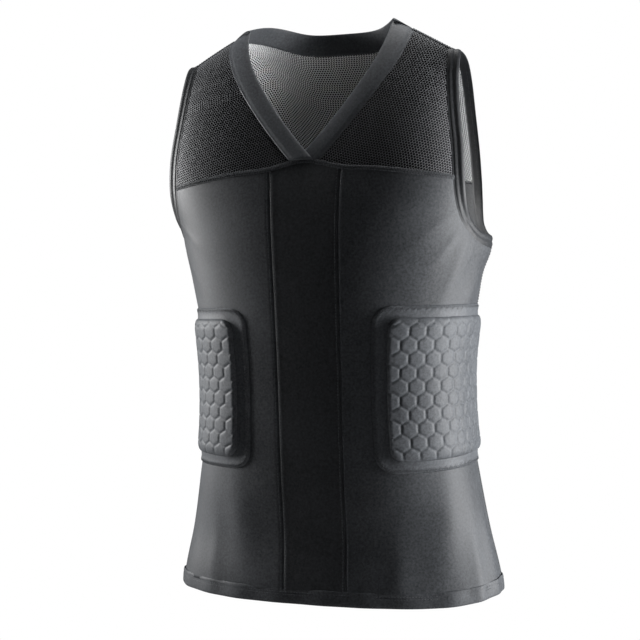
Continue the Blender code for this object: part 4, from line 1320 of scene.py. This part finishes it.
centre_rises = np.linspace(HEM_TOP_RISE, CORNER_RISE, 200)
side_rises = np.linspace(HEM_TOP_RISE, ARMHOLE_FLOOR_RISE, 160)
for side, word in SIDES:
    seams = {
        "centre_seam_stitches_": (side * centre_seam(centre_rises), centre_rises),
        "side_seam_stitches_": (np.full(160, side * SIDE_SEAM_AZIMUTH), side_rises),
    }
    for name, spots in seams.items():
        rows = seam_rows(resampled(spots), (-ROW_HALF_GAP, ROW_HALF_GAP), SEAM_STITCH_LIFT)
        stitched(name + word, rows, SEAM_STITCH)
hem_line = (np.linspace(0, 360, 361)[:-1], np.full(360, HEM_STITCH_RISE))
stitched("hem_stitches", seam_rows(
    resampled(hem_line, closed=True), (-HEM_ROW_HALF_GAP, HEM_ROW_HALF_GAP), FOLD_STITCH_LIFT,
    closed=True), SEAM_STITCH)

# %% Flat seams over the yokes' edges
FLAT_SEAM_WIDTH = 0.0056
FLAT_SEAM_LIFT = 0.0002
FLAT_SEAM_STEP = 0.002
FLAT_ROW_HALF_GAP = 0.0024
FLAT_STITCH_LIFT = KNIT_THICKNESS + 0.0008
RIDGE_SEAM_RISE = 1.992
flat_section = folded_section(0.0016, 0.0003, (), 10)


def flat_seam(name, spots):
    """A flat seam: a low strip over both edges, crossing threads and two rows of stitches."""
    line = resampled(spots, FLAT_SEAM_STEP)
    half = FLAT_SEAM_WIDTH / 2
    strip = ribbon(
        name, line, half, flat_section, BLACK_KNIT, lifts=FLAT_SEAM_LIFT, start=-half)[0]
    trims.append(strip)
    crossing = seam_rows(line, (0.0,), FLAT_STITCH_LIFT + 0.0001)
    stitched(name + "_cross_threads", crossing, SEAM_CROSSING)
    rows = seam_rows(line, (-FLAT_ROW_HALF_GAP, FLAT_ROW_HALF_GAP), FLAT_STITCH_LIFT)
    stitched(name + "_stitches", rows, TRIM_STITCH)


front_arc = np.linspace(-1, 1, 200) * FRONT_ARM_AZIMUTH
flat_seam("front_yoke_seam", (front_arc, yoke_seam(front_arc)))
back_arc = np.linspace(BACK_ARM_AZIMUTH, 360 - BACK_ARM_AZIMUTH, 200)
flat_seam("back_yoke_seam", (back_arc, np.full(200, YOKE_SEAM_RISE)))
ridge_x = np.linspace(NECK_HALF_WIDTH, SHOULDER_HALF_WIDTH, 40)
ridge_rise = np.full(40, RIDGE_SEAM_RISE)
for side, word in SIDES:
    flat_seam("shoulder_seam_" + word, (azimuth_at(ridge_x * side, ridge_rise), ridge_rise))

# %% Stitches of the neckband, the bindings and the pad covers
NECK_STITCH_INSET = -0.0022
BINDING_ROWS = (0.0012, 0.0064)
BINDING_STITCH_LIFT = KNIT_THICKNESS / 2 + BAND_THICKNESS / 2 + 0.0002
COVER_STITCH_LIFT = POCKET_LIFT + POCKET_THICKNESS + 0.0003
COVER_INSETS = (0.0012, 0.0052)
COVER_CROSSING_INSET = 0.0030
CORNER_STEPS = 12


def cover_row(side, inset, lift):
    """A guide line round a pad cover, inside its edge."""
    left, right, top, bottom = POCKET_EDGES
    near, far_off = left + POCKET_CORNER_RADIUS, right - POCKET_CORNER_RADIUS
    high, low = top + POCKET_CORNER_RADIUS, bottom - POCKET_CORNER_RADIUS
    radius = POCKET_CORNER_RADIUS - inset
    corners = ((far_off, low), (near, low), (near, high), (far_off, high))
    p, q = [], []
    for quarter, (cx, cy) in enumerate(corners):
        turn = np.radians(90 * quarter + np.linspace(0, 90, CORNER_STEPS))
        p.append(cx + radius * np.cos(turn))
        q.append(cy + radius * np.sin(turn))
    azimuth, rise = pad_spot(np.concatenate(p), np.concatenate(q))
    spots = resampled((side * azimuth, rise), closed=True)
    return seam_rows(spots, (0.0,), lift, closed=True)


neck_rows = seam_rows(resampled(neck_spots), (NECK_STITCH_INSET,), FOLD_STITCH_LIFT)
stitched("neckband_stitches", neck_rows, TRIM_STITCH)
for side, word in SIDES:
    line = resampled(arm_spots[word], closed=True)
    rows = seam_rows(line, BINDING_ROWS, BINDING_STITCH_LIFT, closed=True)
    stitched("binding_stitches_" + word, rows, BINDING_STITCH)
for side, word in SIDES:
    near, inner = (cover_row(side, inset, COVER_STITCH_LIFT) for inset in COVER_INSETS)
    stitched("pad_cover_stitches_" + word, near + inner, COVER_STITCH)
    crossing = cover_row(side, COVER_CROSSING_INSET, COVER_STITCH_LIFT + 0.0001)
    stitched("pad_cover_cross_threads_" + word, crossing, COVER_CROSSING)

# %% [markdown]
# ## Fasten the pieces to the solids
# Every piece rides on the shirt's one body and stands for its solid. The size that each cloth piece
# would have if it were laid flat is printed.

# %% Ride and replace
SHEETS = (
    (centre_front, "knit", "centre_front_panel", ["centre_seam"]),
    (side_front_left, "knit", "front_side_panel_left", ["side_seam_stitches_left"]),
    (side_front_right, "knit", "front_side_panel_right", ["side_seam_stitches_right"]),
    (back, "knit", "back_panel", []),
    (front_yoke_left, "mesh", "front_yoke_left", ["front_yoke_seam"]),
    (front_yoke_right, "mesh", "front_yoke_right", []),
    (back_yoke, "mesh", "back_yoke", ["back_yoke_seam", "shoulder_seam", "back_yoke_inner"]),
    (covers[0], "pad", "side_pocket_left", ["cover_stitches_left", "cross_threads_left"]),
    (covers[1], "pad", "side_pocket_right", ["cover_stitches_right", "cross_threads_right"]),
    (neckband, "band", "neckband", ["neckband_stitches"]),
    (bindings[0], "band", "armhole_binding_left", ["binding_stitches_left"]),
    (bindings[1], "band", "armhole_binding_right", ["binding_stitches_right"]),
    (hem, "knit", "hem_band", ["hem_stitches"]),
)


def fasten(piece, *nodes, slot):
    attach(piece, "root")
    if nodes:
        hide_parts(*nodes)


fasten(back_yoke_inner, slot="mesh")
for piece in trims:
    fasten(piece, slot="knit")
trims.append(back_yoke_inner)
for (piece, (width, length), area), slot, node, words in SHEETS:
    fasten(piece, node, slot=slot)
    area = min(width * length if area is None else area, width * length)
    print(piece.name, "flat:", round(width, 3), "x", round(length, 3), "area:", round(area, 4))
for piece, (side, word) in zip(foam_blocks, SIDES):
    fasten(piece, "hex_pad_" + word, slot="pad")

# %% [markdown]
# ## Studio
# The shirt stands before a pale ground. Large soft boxes at its sides draw the long highlights
# on the flanks and leave the middle of the front almost black, as cloth this dark needs. Small
# ones above give the shoulders their edge. The ground is plain white to the camera only, so that
# its light doesn't reach the cloth.

# %% Ground and background
FLOOR_Z = -2.2
FLOOR_HALF = 9
FLOOR_COLOUR = (0.85, 0.85, 0.86, 1)
SKY_COLOUR, SKY_STRENGTH = (0.9, 0.93, 1.0, 1), 0.004
WHITE = (1, 1, 1, 1)


def white_to_camera(tree, other, kind, end):
    """Show plain white to the camera where light still meets the other shader."""
    seen = add_node(tree, "ShaderNodeLightPath").outputs["Is Camera Ray"]
    white = add_node(tree, kind, {"Color": WHITE, "Strength": 1.0})
    mix = add_node(tree, "ShaderNodeMixShader", {0: seen, 1: other, 2: white})
    set_inputs(tree, tree.nodes[end], {0: mix})


def add_floor():
    mesh = bpy.data.meshes.new("studio_floor")
    corners = [(x * FLOOR_HALF, y * FLOOR_HALF, FLOOR_Z)
               for x, y in ((-1, -1), (1, -1), (1, 1), (-1, 1))]
    mesh.from_pydata(corners, [], [(0, 1, 2, 3)])
    material, tree, shader = new_material("pale_floor")
    set_inputs(tree, shader, {"Base Color": FLOOR_COLOUR, "Roughness": 0.7})
    white_to_camera(tree, shader, "ShaderNodeEmission", "Material Output")
    mesh.materials.append(material)
    link("studio_floor", mesh)


def add_world():
    world = bpy.data.worlds.new("studio")
    bpy.context.scene.world = world
    world.use_nodes = True
    ground = world.node_tree.nodes["Background"]
    set_inputs(world.node_tree, ground, {"Color": SKY_COLOUR, "Strength": SKY_STRENGTH})
    white_to_camera(world.node_tree, ground, "ShaderNodeBackground", "World Output")


bpy.context.scene.view_settings.view_transform = "Standard"
add_floor()
add_world()
print("floor at", FLOOR_Z, "and a plain sky")

# %% Soft boxes, each turned to the middle of the shirt
BODY_MIDDLE = -0.34
Box = namedtuple("Box", "name azimuth distance height size power")
BOXES = (
    Box("left_box", -92, 1.7, -0.80, (0.4, 1.0), 6),
    Box("left_middle_box", -87, 1.7, 0.0, (0.4, 0.7), 78),
    Box("shoulder_box", 180, 0.15, 1.2, (0.8, 0.4), 20),
    Box("right_box", 96, 1.7, -0.35, (0.4, 1.5), 145),
    Box("front_fill", 5, 2.4, 1.5, (1.6, 1.0), 1.5),
    Box("overhead_box", -5, 0.25, 1.2, (0.8, 0.5), 8),
    Box("right_front_box", 72, 2.1, -0.35, (0.5, 1.0), 4),
)


def add_box(row):
    light = bpy.data.lights.new(row.name, "AREA")
    light.shape = "RECTANGLE"
    light.size, light.size_y = row.size
    light.energy = row.power
    box = link(row.name, light)
    turn = math.radians(row.azimuth)
    down = math.atan2(row.height - BODY_MIDDLE, row.distance)
    box.location = (row.distance * math.sin(turn), -row.distance * math.cos(turn), row.height)
    box.rotation_euler = (math.pi / 2 - down, 0, turn)
    box.visible_camera = False


for row in BOXES:
    add_box(row)
print("soft boxes:", len(BOXES))

# %% [markdown]
# ## Camera
# A photo of a product is taken from about chest height with a long lens, so that near and far
# parts keep their true sizes. The place, the lens and the small tilt were fitted to the outline.

# %% Camera
CAMERA_AZIMUTH = math.radians(18.24)
CAMERA_DISTANCE = 1.86
CAMERA_HEIGHT = -0.344
CAMERA_ROLL = math.radians(0.89)
FOCAL_PIXELS = 1542.6
FRAME_PIXELS = 640
CENTRE_X, CENTRE_Y = 336.4, 311.1
SENSOR_WIDTH = 36


def add_camera():
    """The camera of the photo, with its focal length and centre given in the photo's pixels."""
    data = bpy.data.cameras.new("photo_camera")
    data.sensor_width = SENSOR_WIDTH
    data.lens = FOCAL_PIXELS / FRAME_PIXELS * SENSOR_WIDTH
    data.shift_x = -(CENTRE_X - FRAME_PIXELS / 2) / FRAME_PIXELS
    data.shift_y = (CENTRE_Y - FRAME_PIXELS / 2) / FRAME_PIXELS
    camera = link("photo_camera", data)
    side, front = math.sin(CAMERA_AZIMUTH), -math.cos(CAMERA_AZIMUTH)
    camera.location = (CAMERA_DISTANCE * side, CAMERA_DISTANCE * front, CAMERA_HEIGHT)
    camera.rotation_euler = (math.pi / 2, CAMERA_ROLL, CAMERA_AZIMUTH)
    bpy.context.scene.camera = camera
    print("lens:", round(data.lens, 1), "mm")


add_camera()
